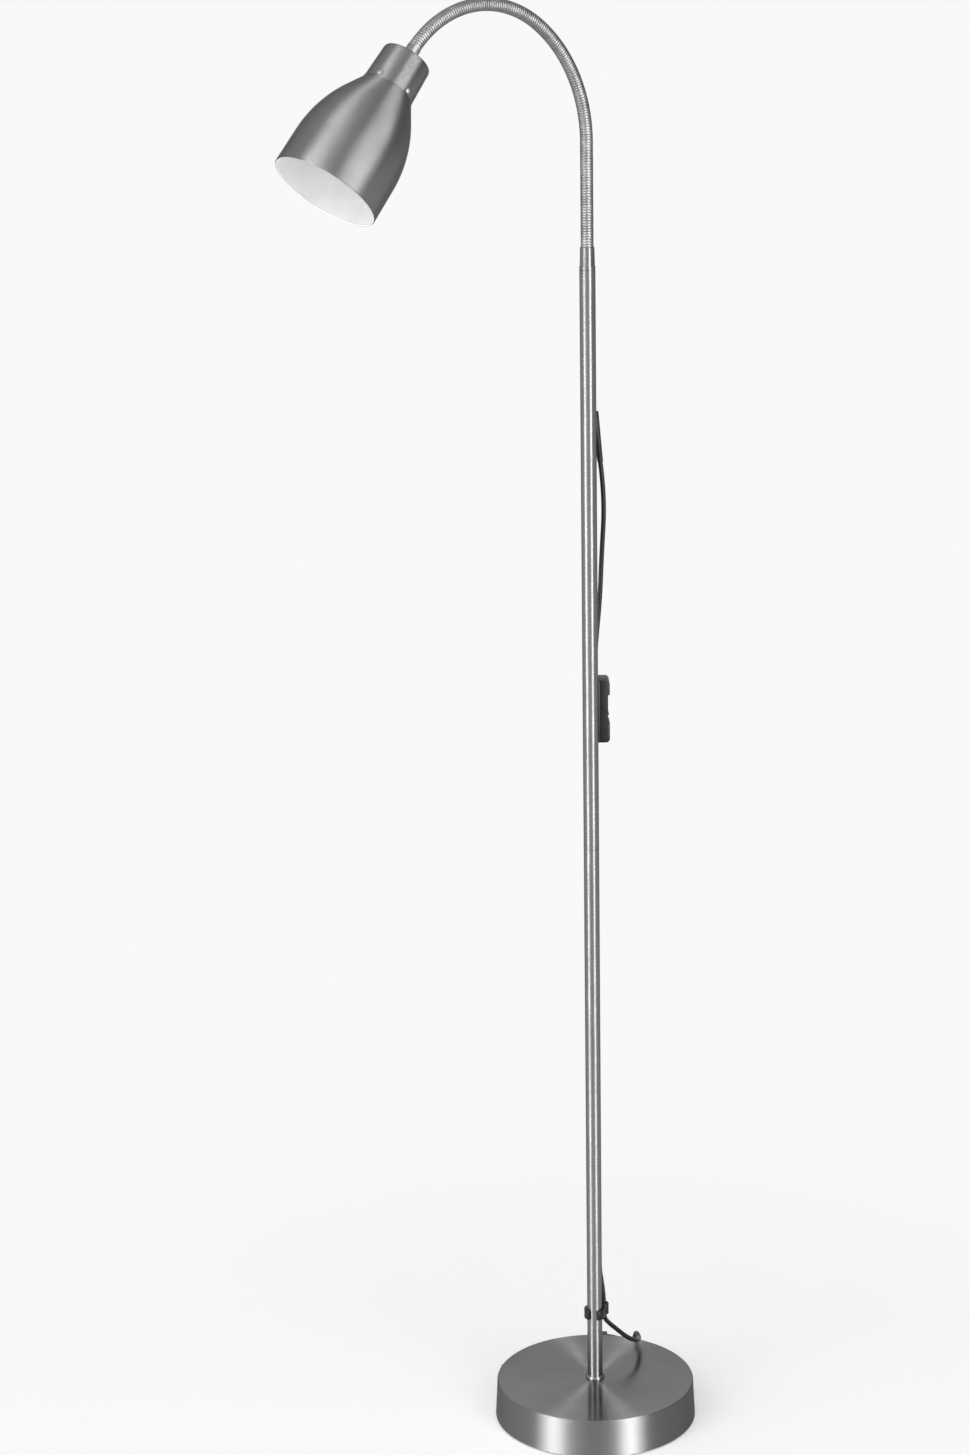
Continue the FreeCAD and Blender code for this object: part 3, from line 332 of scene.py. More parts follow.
def spread(tree, value, low, high):
    """A noise value, moved from its usual range into another one."""
    found = node(tree, "ShaderNodeMapRange", {0: value, 1: NOISE_LOW, 2: NOISE_HIGH, 3: low, 4: high})
    return found.outputs[0]


def mixed_colour(tree, share, low, high):
    """A colour between two others, by a noise value."""
    colours = {0: spread(tree, share, 0.0, 1.0), 6: low, 7: high}
    return node(tree, "ShaderNodeMix", colours, data_type="RGBA").outputs[2]


def raise_skin(tree, shader, height, strength, depth):
    """Lets a noise value stand out from the surface."""
    raised = node(tree, "ShaderNodeBump", {"Strength": strength, "Distance": depth, "Height": height})
    tree.links.new(raised.outputs[0], shader.inputs["Normal"])


def new_material(name):
    material = bpy.data.materials.new(name)
    material.use_nodes = True
    tree = material.node_tree
    return material, tree, tree.nodes["Principled BSDF"]


def noise(tree, vector, scale, detail=3.0, roughness=0.5):
    found = node(tree, "ShaderNodeTexNoise", {
        "Vector": vector, "Scale": scale, "Detail": detail, "Roughness": roughness})
    return found.outputs["Fac"]


# ---------------------------------------------------------------- materials
FINE_RINGS = (2.2, 2400.0, 4.0)  # noise cells round the axis, cells per metre along the outline, detail
CLOUD_RINGS = (1.6, 28.0, 2.0)
FINE_SHARE = 0.45
GROOVES = 0.012
GRAIN_DEPTH = 0.1 * MM
ACROSS_RINGS = 0.25  # quarter turn: highlights stretch across the brushing
MARKS_SIZE = 25  # handling marks on metal, in grains
WEAR_SIZE = 30  # worn patches on moulded skin, in grains


def brushed(name, tone, roughness, anisotropy, origin, axis, grooves=GROOVES):
    """Steel brushed round an axis: fine rings, cloudy patches, and highlights stretched across the rings."""
    material, tree, shader = new_material(name)
    origin = tuple(origin)
    axis = tuple(axis)
    place_of = node(tree, "ShaderNodeTexCoord").outputs["Object"]
    offset = vector_node(tree, "SUBTRACT", place_of, origin)
    along = node(tree, "ShaderNodeVectorMath", {0: offset, 1: axis}, operation="DOT_PRODUCT").outputs["Value"]
    lever = vector_node(tree, "SUBTRACT", offset, scaled(tree, axis, along))
    reach = node(tree, "ShaderNodeVectorMath", {0: lever}, operation="LENGTH").outputs["Value"]
    outward = vector_node(tree, "NORMALIZE", lever)
    round_about = vector_node(tree, "CROSS_PRODUCT", axis, outward)
    tangent = node(tree, "ShaderNodeVectorTransform", {0: round_about},
                   vector_type="VECTOR", convert_from="OBJECT", convert_to="WORLD").outputs[0]
    outline = math_node(tree, "ADD", along, reach)

    def rings(cells_round, per_metre, detail):
        step = math_node(tree, "MULTIPLY", outline, per_metre)
        where = vector_node(tree, "ADD", scaled(tree, outward, cells_round), scaled(tree, axis, step))
        return noise(tree, where, 1.0, detail)

    fine = rings(*FINE_RINGS)
    clouds = rings(*CLOUD_RINGS)
    both = math_node(tree, "ADD", math_node(tree, "MULTIPLY", fine, FINE_SHARE),
                     math_node(tree, "MULTIPLY", clouds, 1 - FINE_SHARE))
    tree.links.new(mixed_colour(tree, both, grey(tone * 0.9), grey(tone * 1.1)), shader.inputs["Base Color"])
    tree.links.new(spread(tree, clouds, roughness - 0.025, roughness + 0.03), shader.inputs["Roughness"])
    tree.links.new(tangent, shader.inputs["Tangent"])
    if grooves:
        raise_skin(tree, shader, fine, grooves, GRAIN_DEPTH)
    shader.inputs["Metallic"].default_value = 1.0
    shader.inputs["Anisotropic"].default_value = anisotropy
    shader.inputs["Anisotropic Rotation"].default_value = ACROSS_RINGS
    shader.inputs["Specular Tint"].default_value = grey(STEEL_EDGE)
    return material


def metal(name, tone, roughness, grain, tint=(1.0, 1.0, 1.0), bump=0.05):
    """Plain metal with a fine grain, so many to the metre, and faint handling marks."""
    material, tree, shader = new_material(name)
    place_of = node(tree, "ShaderNodeTexCoord").outputs["Object"]
    marks = noise(tree, place_of, grain / MARKS_SIZE, 3.0, 0.6)
    low = tuple(tone * 0.88 * c for c in tint) + (1,)
    high = tuple(tone * 1.1 * c for c in tint) + (1,)
    tree.links.new(mixed_colour(tree, marks, low, high), shader.inputs["Base Color"])
    tree.links.new(spread(tree, marks, roughness * 0.85, roughness * 1.2), shader.inputs["Roughness"])
    if bump:
        raise_skin(tree, shader, noise(tree, place_of, grain, 4.0), bump, GRAIN_DEPTH)
    shader.inputs["Metallic"].default_value = 1.0
    shader.inputs["Specular Tint"].default_value = grey(STEEL_EDGE)
    return material


def moulded(name, tone, roughness, grain, depth=0.08 * MM, strength=0.3, shine=0.2):
    """Moulded plastic, rubber or enamel: even colour with a fine skin and slight variation in gloss."""
    material, tree, shader = new_material(name)
    place_of = node(tree, "ShaderNodeTexCoord").outputs["Object"]
    wear = noise(tree, place_of, grain / WEAR_SIZE, 4.0, 0.6)
    high = grey(min(1.0, tone * 1.07))
    tree.links.new(mixed_colour(tree, wear, grey(tone * 0.93), high), shader.inputs["Base Color"])
    tree.links.new(spread(tree, wear, roughness * 0.85, roughness * 1.15), shader.inputs["Roughness"])
    shader.inputs["Specular IOR Level"].default_value = shine
    raise_skin(tree, shader, noise(tree, place_of, grain, 3.0), strength, depth)
    return material


# The base's wall steel is the top's steel painted darker (0.85 of its tone) as painted shade; its rougher
# brushing is the wall's own.
base_steel = brushed("base_wall_steel_painted_shade", STEEL * 0.85, 0.42, 1.0, (0, 0, 0), UP)
base_top_steel = brushed("base_top_steel", STEEL, 0.21, 1.0, (0, 0, 0), UP)
pole_steel = brushed("pole_brushed_steel", STEEL * 0.95, 0.29, 0.97, (0, 0, 0), UP, grooves=0)
shade_steel = brushed("shade_spun_steel", STEEL * 0.78, 0.31, 0.97, HEAD_AT, HEAD_AXIS)
collar_steel = brushed("collar_spun_steel", STEEL * 0.82, 0.29, 0.97, HEAD_AT, HEAD_AXIS)
hose_steel = metal("hose_steel", STEEL * 0.9, 0.3, 2600.0, bump=0)
plain_steel = metal("zinc_plated_steel", 0.42, 0.32, 1200.0)
pin_metal = metal("nickel_pins", 0.55, 0.22, 1500.0)
brass = metal("brass_shell", 0.6, 0.25, 1500.0, tint=(1.0, 0.78, 0.38))
cast_iron = metal("cast_iron", 0.09, 0.6, 350.0)
enamel = moulded("white_enamel", 0.94, 0.32, 700.0, depth=0.04 * MM, strength=0.2, shine=0.5)
cord_sheath = moulded("cord_sheath", 0.008, 0.42, 900.0)
black_plastic = moulded("black_plastic", 0.01, 0.42, 1600.0)
switch_plastic = moulded("switch_plastic", 0.014, 0.46, 1800.0, depth=0.1 * MM, strength=0.4)
rocker_plastic = moulded("rocker_plastic", 0.012, 0.3, 1800.0)
holder_plastic = moulded("holder_plastic", 0.03, 0.28, 900.0)
pad_rubber = moulded("pad_rubber", 0.03, 0.75, 500.0, depth=0.3 * MM, strength=0.6)


# ---------------------------------------------------------------- camera, light and floor
def make_camera():
    """Camera where the photograph was taken from, tipped down and rolled a little."""
    ahead = Vector((0, math.cos(CAMERA_PITCH), -math.sin(CAMERA_PITCH)))
    level_right = Vector((1, 0, 0))
    level_up = Vector((0, math.sin(CAMERA_PITCH), math.cos(CAMERA_PITCH)))
    right = math.cos(CAMERA_ROLL) * level_right + math.sin(CAMERA_ROLL) * level_up
    up = math.cos(CAMERA_ROLL) * level_up - math.sin(CAMERA_ROLL) * level_right
    lens = bpy.data.cameras.new("photo_camera")
    lens.lens = CAMERA_LENS
    lens.sensor_width = 36.0
    lens.sensor_fit = "AUTO"
    lens.clip_end = 100.0
    camera = bpy.data.objects.new("photo_camera", lens)
    bpy.context.scene.collection.objects.link(camera)
    camera.matrix_world = Matrix((
        (right.x, up.x, -ahead.x, CAMERA_AT[0]),
        (right.y, up.y, -ahead.y, CAMERA_AT[1]),
        (right.z, up.z, -ahead.z, CAMERA_AT[2]),
        (0, 0, 0, 1)))
    bpy.context.scene.camera = camera


def make_panel(name, at, width, level, diffuse):
    """Upright light panel that faces the pole. Without diffuse it shows in reflections alone."""
    light = bpy.data.lights.new(name, "AREA")
    light.shape = "RECTANGLE"
    light.size = width
    light.size_y = PANEL_HEIGHT
    light.energy = level * width * PANEL_HEIGHT * math.pi
    panel = bpy.data.objects.new(name, light)
    bpy.context.scene.collection.objects.link(panel)
    panel.location = at
    panel.rotation_euler = Vector((-at.x, -at.y, 0)).to_track_quat("-Z", "Y").to_euler()
    panel.visible_camera = False
    panel.visible_diffuse = diffuse


def make_lights():
    """Two bright upright panels with dimmer ones beside them, whose streaks show on brushed steel."""
    for name, turn, width, soft, shine in PANELS:
        angle = math.radians(turn)
        middle = PANEL_HEIGHT / 2 - PANEL_SUNK
        at = Vector((math.sin(angle) * PANEL_DISTANCE, -math.cos(angle) * PANEL_DISTANCE, middle))
        make_panel(name + "_soft", at, width, soft, True)
        make_panel(name + "_shine", at, width, shine, False)


def make_world():
    """Pale studio room: white for the camera, and dimmer to the right for reflections and matt surfaces."""
    world = bpy.data.worlds.new("studio")
    bpy.context.scene.world = world
    world.use_nodes = True
    tree = world.node_tree
    background = tree.nodes["Background"]
    toward = node(tree, "ShaderNodeTexCoord").outputs["Generated"]
    parts = node(tree, "ShaderNodeSeparateXYZ", {0: toward})
    dimming = {0: parts.outputs[0], 1: ROOM_DIM_FROM[0], 2: ROOM_DIM_FROM[1], 3: 1.0, 4: ROOM_DIM_SIDE}
    right = node(tree, "ShaderNodeMapRange", dimming, interpolation_type="SMOOTHSTEP").outputs[0]
    paths = node(tree, "ShaderNodeLightPath")
    shown = math_node(tree, "MAXIMUM", paths.outputs["Is Glossy Ray"], paths.outputs["Is Transmission Ray"])
    mirrored = math_node(tree, "MULTIPLY", right, BACKGROUND)
    room = math_node(tree, "MULTIPLY", right, ROOM_LEVEL)
    unseen = node(tree, "ShaderNodeMix", {0: shown, 2: room, 3: mirrored}, data_type="FLOAT").outputs[0]
    strength = node(tree, "ShaderNodeMix", {
        0: paths.outputs["Is Camera Ray"], 2: unseen, 3: BACKGROUND}, data_type="FLOAT").outputs[0]
    tree.links.new(strength, background.inputs["Strength"])
    background.inputs["Color"].default_value = grey(1.0)


def make_floor():
    """Pale floor that keeps the lamp's soft shadow and fades into the white background."""
    deselect_all()
    bpy.ops.mesh.primitive_circle_add(vertices=96, radius=FLOOR_R, fill_type="NGON", location=(0, 0, 0))
    floor = bpy.context.object
    floor.name = "floor"
    material, tree, shader = new_material("floor_paper")
    shader.inputs["Base Color"].default_value = grey(FLOOR_TONE)
    shader.inputs["Roughness"].default_value = 0.9
    shader.inputs["Specular IOR Level"].default_value = 0.1
    place_of = node(tree, "ShaderNodeTexCoord").outputs["Object"]
    away = node(tree, "ShaderNodeVectorMath", {0: place_of}, operation="LENGTH").outputs["Value"]
    fade = node(tree, "ShaderNodeMapRange", {0: away, 1: FLOOR_FADE[0], 2: FLOOR_FADE[1], 3: 0.0, 4: 1.0},
                interpolation_type="SMOOTHSTEP").outputs[0]
    paths = node(tree, "ShaderNodeLightPath")
    seen = math_node(tree, "MAXIMUM", paths.outputs["Is Camera Ray"], paths.outputs["Is Glossy Ray"])
    seen = math_node(tree, "MAXIMUM", seen, paths.outputs["Is Transmission Ray"])
    white = node(tree, "ShaderNodeEmission", {"Color": grey(1.0), "Strength": BACKGROUND}).outputs[0]
    share = math_node(tree, "MULTIPLY", fade, seen)
    mixed = node(tree, "ShaderNodeMixShader", {0: share, 1: shader.outputs[0], 2: white}).outputs[0]
    lift = math_node(tree, "MULTIPLY", seen, FLOOR_LIFT)
    glow = node(tree, "ShaderNodeEmission", {"Color": grey(1.0), "Strength": lift}).outputs[0]
    near = math_node(tree, "SUBTRACT", 1.0, share)
    faded_glow = node(tree, "ShaderNodeMixShader", {0: near, 2: glow}).outputs[0]
    surface = node(tree, "ShaderNodeAddShader", {0: mixed, 1: faded_glow}).outputs[0]
    tree.links.new(surface, tree.nodes["Material Output"].inputs["Surface"])
    floor.data.materials.append(material)


make_camera()
make_world()
make_lights()
make_floor()
bpy.context.scene.view_settings.view_transform = "Standard"


# ---------------------------------------------------------------- mains lead
def coil_points():
    """Two tied layers of spare lead: turns run in, climb a layer and run out again."""
    points = []
    # a smooth line runs inside its points, so they stand out by this share
    outside = 1 / math.cos(math.pi * COIL_TURNS / COIL_POINTS)
    for i in range(1, COIL_POINTS + 1):
        turn = COIL_TURNS * i / COIL_POINTS
        risen = min(1.0, max(0.0, (turn - COIL_TURNS / 2) / COIL_CLIMB + 0.5))
        radius = (COIL_R - COIL_PITCH * (COIL_TURNS / 2 - abs(turn - COIL_TURNS / 2))) * outside
        height = COIL_Z + COIL_STEP * (1 - math.cos(math.pi * risen)) / 2
        angle = 2 * math.pi * turn
        points.append((COIL_X + radius * math.cos(angle), COIL_Y + radius * math.sin(angle), height))
    return points


def tail_points(start):
    """From the coil's end, along its direction, to the plug's relief."""
    angle = 2 * math.pi * COIL_TURNS
    leaving = Vector((-math.sin(angle), math.cos(angle), 0))
    entering = Vector((math.cos(PLUG_HEADING), math.sin(PLUG_HEADING), 0))
    end = Vector((PLUG_X, PLUG_Y, PLUG_Z)) - entering * PLUG_BACK
    reach = (end - start).length * TAIL_SHARE
    return [tuple(start + leaving * reach), tuple(end - entering * reach), tuple(end)]


UPPER_ROUTE = [
    RELIEF_END, (16.7, 16.2, 999.5), (13.0, 20.6, 937.0), (11.2, 22.0, 892.0), (6.0, 22.5, 842.0), SWITCH_TOP,
]
LOWER_ROUTE = [
    SWITCH_BOTTOM, (4.4, 21.6, 712.0), (4.0, 15.8, 172.0), (9.4, 10.4, 140.0), (10.5, 9.0, 116.5),
    (10.7, 10.0, 106.0), (14.0, 20.5, 96.5), (23.0, 32.5, 83.0), (37.5, 39.0, 67.5), (48.0, 51.5, 58.5),
    (51.8, 72.5, 51.3), (49.6, 85.8, 51.4), (48.6, 97.8, 45.8), (47.7, 106.3, 35.6), (47.3, 110.7, 19.3),
    (46.4, 119.2, 9.1), (45.2, 131.2, 3.5), (COIL_X + COIL_R, COIL_Y, COIL_Z),
]


def make_cord(name, route):
    """Round sheath along a smooth line through a route given in millimetres."""
    curve = bpy.data.curves.new(name, "CURVE")
    curve.dimensions = "3D"
    curve.bevel_depth = CORD_R
    curve.bevel_resolution = 4
    curve.resolution_u = 6
    curve.use_fill_caps = True
    spline = curve.splines.new("NURBS")
    spline.points.add(len(route) - 1)
    for point, (x, y, z) in zip(spline.points, route):
        point.co = (x * MM, y * MM, z * MM, 1)
    spline.order_u = 3
    spline.use_endpoint_u = True
    cord = bpy.data.objects.new(name, curve)
    bpy.context.scene.collection.objects.link(cord)
    return cord


turns = coil_points()
upper_cord = make_cord("lead_pole_to_switch", UPPER_ROUTE)
lower_cord = make_cord("lead_switch_to_plug", LOWER_ROUTE + turns + tail_points(Vector(turns[-1])))


# ---------------------------------------------------------------- copies of small nodes
def softened(node_name, name, body, material, slot, width, sharp=35.0):
    """A small node's form, welded, with its sharp edges broken by a narrow bevel unless its width is 0."""
    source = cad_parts[node_name]
    obj = bpy.data.objects.new(name, source.data.copy())
    bpy.context.scene.collection.objects.link(obj)
    activate(obj)
    bpy.ops.object.mode_set(mode="EDIT")
    bpy.ops.mesh.select_all(action="SELECT")
    bpy.ops.mesh.remove_doubles(threshold=WELD)
    bpy.ops.mesh.dissolve_limited(angle_limit=FLAT_WITHIN)
    bpy.ops.object.mode_set(mode="OBJECT")
    if width:
        bevel = obj.modifiers.new("broken_edges", "BEVEL")
        bevel.width = width
        bevel.segments = 2
        bevel.limit_method = "ANGLE"
        bevel.angle_limit = math.radians(sharp)
        bpy.ops.object.modifier_apply(modifier=bevel.name)
    finish_mesh(obj, sharp)
    return dress(obj, body, material, slot, node_name)


relief = softened("cord_relief", "lead_relief", "stand", black_plastic, "black_plastic", 0)
switch_back = softened("switch_back_shell", "switch_back", "stand", switch_plastic, "black_plastic",
                       0.35 * MM)
switch_front = softened("switch_front_shell", "switch_front", "stand", switch_plastic, "black_plastic",
                        0.35 * MM)
rocker = softened("switch_rocker", "rocker_button", "rocker", rocker_plastic, "black_gloss", 0.3 * MM)
clip = softened("cord_clip", "lead_clip", "stand", black_plastic, "black_plastic", 0.3 * MM)
tie = softened("cord_tie", "lead_tie", "stand", black_plastic, "black_plastic", 0.2 * MM)
plug = softened("plug_body", "plug_moulding", "stand", black_plastic, "black_plastic", 0.8 * MM)
pins = softened("plug_pins", "plug_contacts", "stand", pin_metal, "pin_metal", 0.4 * MM)

dress(upper_cord, "stand", cord_sheath, "cord_black", "cord_upper")
dress(lower_cord, "stand", cord_sheath, "cord_black", "cord_run", "cord_lower", "cord_coil", "cord_tail")


# ---------------------------------------------------------------- base and pole
def make_base():
    """Pressed cover of one thin skin: a leaning wall, a rounded edge, and a flat top with the bolt's hole."""
    lean = (BASE_BOTTOM_R - BASE_TOP_R) / (BASE_TOP - BASE_LIFT)
    inside_top = BASE_TOP - BASE_SKIN
    edge_r = BASE_TOP_R - BASE_EDGE
    stations = [(BASE_BOTTOM_R - BASE_SKIN, BASE_LIFT), (BASE_BOTTOM_R - SOFT_EDGE, BASE_LIFT)]
    stations += [(BASE_BOTTOM_R, BASE_LIFT + SOFT_EDGE)]
    stations += rounded(edge_r + lean * BASE_EDGE, BASE_TOP - BASE_EDGE, BASE_EDGE, 0, 90, 8)
    stations += [(BASE_TOP_R * share, BASE_TOP) for share in BASE_TOP_RINGS]
    stations += [(BOLT_HOLE_R, BASE_TOP), (BOLT_HOLE_R, inside_top), (edge_r, inside_top)]
    stations += [(BASE_BOTTOM_R - BASE_SKIN, BASE_LIFT)]
    cover = turned("base_shell", stations, BASE_SIDES)
    dress(cover, "stand", base_steel, "base_steel", "base_cover")
    # The cover's wall takes the darker steel, which is painted shade; the faces of its flat top keep the
    # plain tone.
    cover.data.materials.append(base_top_steel)
    for polygon in cover.data.polygons:
        polygon.material_index = 1 if polygon.normal.z > TOP_FACES_FROM else 0


def make_foot():
    """Flanged collar that hides the joint of pole and base."""
    stations = [(POLE_R, BASE_TOP), (FOOT_R - SOFT_EDGE, BASE_TOP)]
    stations += rounded(FOOT_R - FOOT_LIP, BASE_TOP + FOOT_LIP, FOOT_LIP, -60, 35)
    stations += rounded(FOOT_TOP_R - FOOT_LIP, FOOT_TOP - FOOT_LIP, FOOT_LIP, 20, 90)
    stations += [(POLE_R, FOOT_TOP), (POLE_R, BASE_TOP)]
    foot = turned("pole_flange", stations, FOOT_SIDES)
    dress(foot, "stand", pole_steel, "satin_steel", "pole_foot")


def make_tube(name, low, high, stands_for):
    """Pole tube whose ends are turned in a little, so that the joint between two shows as a fine line."""
    inner = POLE_R - TUBE_WALL
    stations = [(inner, low), (POLE_R - SOFT_EDGE, low), (POLE_R, low + SOFT_EDGE)]
    stations += [(POLE_R, high - SOFT_EDGE), (POLE_R - SOFT_EDGE, high), (inner, high), (inner, low)]
    tube = turned(name, stations, TUBE_SIDES)
    dress(tube, "stand", pole_steel, "satin_steel", stands_for)


def make_ferrule():
    """Socket of the gooseneck: a plain ring, a groove and a taper up to the hose."""
    ring = POLE_TOP + FERRULE_RING
    stations = [(POLE_R - SOFT_EDGE, POLE_TOP), (POLE_R, POLE_TOP + SOFT_EDGE), (POLE_R, ring - SOFT_EDGE)]
    stations += [(POLE_R - SOFT_EDGE, ring), (POLE_R - FERRULE_GROOVE, ring + FERRULE_GROOVE)]
    stations += [(FERRULE_TOP_R, NECK_START - SOFT_EDGE), (FERRULE_TOP_R - SOFT_EDGE, NECK_START)]
    ferrule = turned("neck_socket", stations, TUBE_SIDES)
    dress(ferrule, "stand", pole_steel, "satin_steel", "neck_ferrule")


make_base()
make_foot()
make_tube("pole_tube_lower", lower_tube[0].z, lower_tube[1].z, "pole_lower")
make_tube("pole_tube_upper", upper_tube[0].z, upper_tube[1].z, "pole_upper")
make_ferrule()


# ---------------------------------------------------------------- gooseneck
def neck_curve():
    """The neck's centre line: a straight foot, two arcs and a straight end, as one Bezier curve."""
    marks = [0.0, NECK_FOOT]
    reach = NECK_FOOT
    bends = []
    for radius, turn in NECK_ARCS:
        part = turn / ARC_PARTS
        for i in range(ARC_PARTS):
            reach += radius * part
            marks.append(reach)
            bends.append(4 / 3 * math.tan(part / 4) * radius)
    marks.append(NECK_LENGTH)
    handles = [NECK_FOOT / 3] + bends + [NECK_END / 3]
    curve = bpy.data.curves.new("neck_line", "CURVE")
    curve.dimensions = "3D"
    curve.resolution_u = 48
    curve.twist_mode = "MINIMUM"
    spline = curve.splines.new("BEZIER")
    spline.bezier_points.add(len(marks) - 1)
    for i, (point, mark) in enumerate(zip(spline.bezier_points, marks)):
        here, heading = neck_at(mark)
        point.handle_left_type = "FREE"
        point.handle_right_type = "FREE"
        point.co = here
        point.handle_left = here - heading * handles[max(0, i - 1)]
        point.handle_right = here + heading * handles[min(i, len(handles) - 1)]
    line = bpy.data.objects.new("neck_line", curve)
    bpy.context.scene.collection.objects.link(line)
    return line


def along_neck(obj, line):
    """Bends a straight piece, made upright at its length along the neck, onto the neck's line."""
    activate(obj)
    bend = obj.modifiers.new("follow_neck", "CURVE")
    bend.object = line
    bend.deform_axis = "POS_Z"
    bpy.ops.object.modifier_apply(modifier=bend.name)
    return obj


def ribbed_hose(name, first, count, pitch, line):
    """Wound steel hose: one rib drawn from a ring, repeated, closed at its ends and bent onto the line."""
    deselect_all()
    valley = NECK_R - RIB_DEPTH
    bpy.ops.mesh.primitive_circle_add(vertices=RIB_SIDES, radius=valley, fill_type="NOTHING",
                                      location=(0, 0, first * pitch))
    obj = bpy.context.object
    obj.name = name
    bpy.ops.object.transform_apply(location=True, rotation=True, scale=True)
    bpy.ops.object.mode_set(mode="EDIT")
    bpy.ops.mesh.select_all(action="SELECT")
    radius, height = valley, 0.0
    for share, out in RIB_PROFILE:
        bpy.ops.mesh.extrude_edges_move(TRANSFORM_OT_translate={"value": (0, 0, share * pitch - height)})
        wider = valley + RIB_DEPTH * out
        bpy.ops.transform.resize(value=(wider / radius, wider / radius, 1), center_override=(0, 0, 0))
        radius, height = wider, share * pitch
    bpy.ops.object.mode_set(mode="OBJECT")
    ribs = obj.modifiers.new("ribs", "ARRAY")
    ribs.count = count
    ribs.use_relative_offset = False
    ribs.use_constant_offset = True
    ribs.constant_offset_displace = (0, 0, pitch)
    ribs.use_merge_vertices = True
    ribs.merge_threshold = 0.01 * MM
    bpy.ops.object.modifier_apply(modifier=ribs.name)
    bpy.ops.object.mode_set(mode="EDIT")
    bpy.ops.mesh.select_mode(type="EDGE")
    bpy.ops.mesh.select_all(action="DESELECT")
    bpy.ops.mesh.select_non_manifold(extend=False)
    bpy.ops.mesh.fill_holes(sides=0)
    bpy.ops.object.mode_set(mode="OBJECT")
    along_neck(obj, line)
    return finish_mesh(obj, sharp=60.0)


def joint_lengths():
    """Lengths along the neck of its joints: two in the foot, then at equal turns of the arch."""
    lengths = list(SIDE_JOINTS)
    for i in range(BEND_JOINTS):
        left = NECK_TURN * (i + 0.5) / BEND_JOINTS
        reach = NECK_FOOT
        for radius, turn in NECK_ARCS:
            step = min(left, turn)
            reach += radius * step
            left -= step
        lengths.append(reach)
    return lengths


def make_hose(line):
    """Hose in pieces that meet mid-way between two joints: the end pieces ride on the stand and the head, the
    others are left in place with no body.
    """
    joints = joint_lengths()
    hose_length = NECK_LENGTH - SLEEVE_LENGTH
    ribs = round(hose_length / RIB_PITCH)
    pitch = hose_length / ribs
    bodies = ["stand"] + ["neck_%d" % (i + 2) for i in range(len(joints) - 1)] + ["head"]
    ends = [0.0] + joints + [NECK_LENGTH]
    middles = [(low + high) / 2 for low, high in zip(ends, ends[1:])]
    cuts = [0] + [round(middle / pitch) for middle in middles] + [ribs]
    for i, (first, last) in enumerate(zip(cuts, cuts[1:])):
        piece = ribbed_hose("hose_%d" % (i + 1), first, last - first, pitch, line)
        piece.data.materials.clear()
        piece.data.materials.append(hose_steel)
        if 0 < i < len(cuts) - 2:
            start = neck_at(first * pitch)[0]
            end = neck_at(last * pitch)[0]
            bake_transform(piece)
        else:
            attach(piece, bodies[max(0, i - 1)])
        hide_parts("neck_section_%d" % max(1, i))


def make_sleeve(line):
    """Smooth sleeve over the hose's end, in rings close enough to follow the neck's line."""
    start = NECK_LENGTH - SLEEVE_LENGTH
    stations = [(SLEEVE_MOUTH_R, start), (SLEEVE_R - SOFT_EDGE, start), (SLEEVE_R, start + SOFT_EDGE)]
    stations += [(SLEEVE_R, start + SLEEVE_LENGTH * i / SLEEVE_RINGS) for i in range(1, SLEEVE_RINGS)]
    stations += [(SLEEVE_R, NECK_LENGTH - SOFT_EDGE), (SLEEVE_R - SOFT_EDGE, NECK_LENGTH)]
    sleeve = turned("hose_sleeve", stations, SLEEVE_SIDES)
    along_neck(sleeve, line)
    dress(sleeve, "head", hose_steel, "neck_steel", "neck_sleeve")


neck_line = neck_curve()
make_hose(neck_line)
make_sleeve(neck_line)
bpy.data.objects.remove(neck_line)


# ---------------------------------------------------------------- head
def on_head(obj):
    """Moves a piece made round +Z to the head: from the hose's end on towards the shade's mouth."""
    return place(obj, HEAD_AT, HEAD_AXIS, HEAD_CROSS)


def bell_stations(offset, steps=14):
    """Stations of the shade's skin moved in by an offset: cone, shoulder arc and rim band, neck end first."""
    radius = SHADE_SHOULDER_R - offset
    start_r = COLLAR_FOOT_R - offset / math.cos(SHADE_CONE)
    rim_r = SHADE_RIM_R - offset
    steep = math.tan(SHADE_CONE)
    flat = math.tan(SHADE_RIM_SLOPE)
    across = rim_r - start_r + steep * COLLAR_LENGTH - flat * SHADE_RIM_AT
    shift = radius / math.cos(SHADE_CONE) - radius / math.cos(SHADE_RIM_SLOPE)
    centre_z = (across + shift) / (steep - flat)
    centre_r = rim_r + flat * (centre_z - SHADE_RIM_AT) - radius / math.cos(SHADE_RIM_SLOPE)
    angles = [SHADE_CONE + (SHADE_RIM_SLOPE - SHADE_CONE) * i / steps for i in range(steps + 1)]
    arc = [(centre_r + radius * math.cos(a), centre_z - radius * math.sin(a)) for a in angles]
    return [(start_r, COLLAR_LENGTH)] + arc + [(rim_r, SHADE_RIM_AT)]


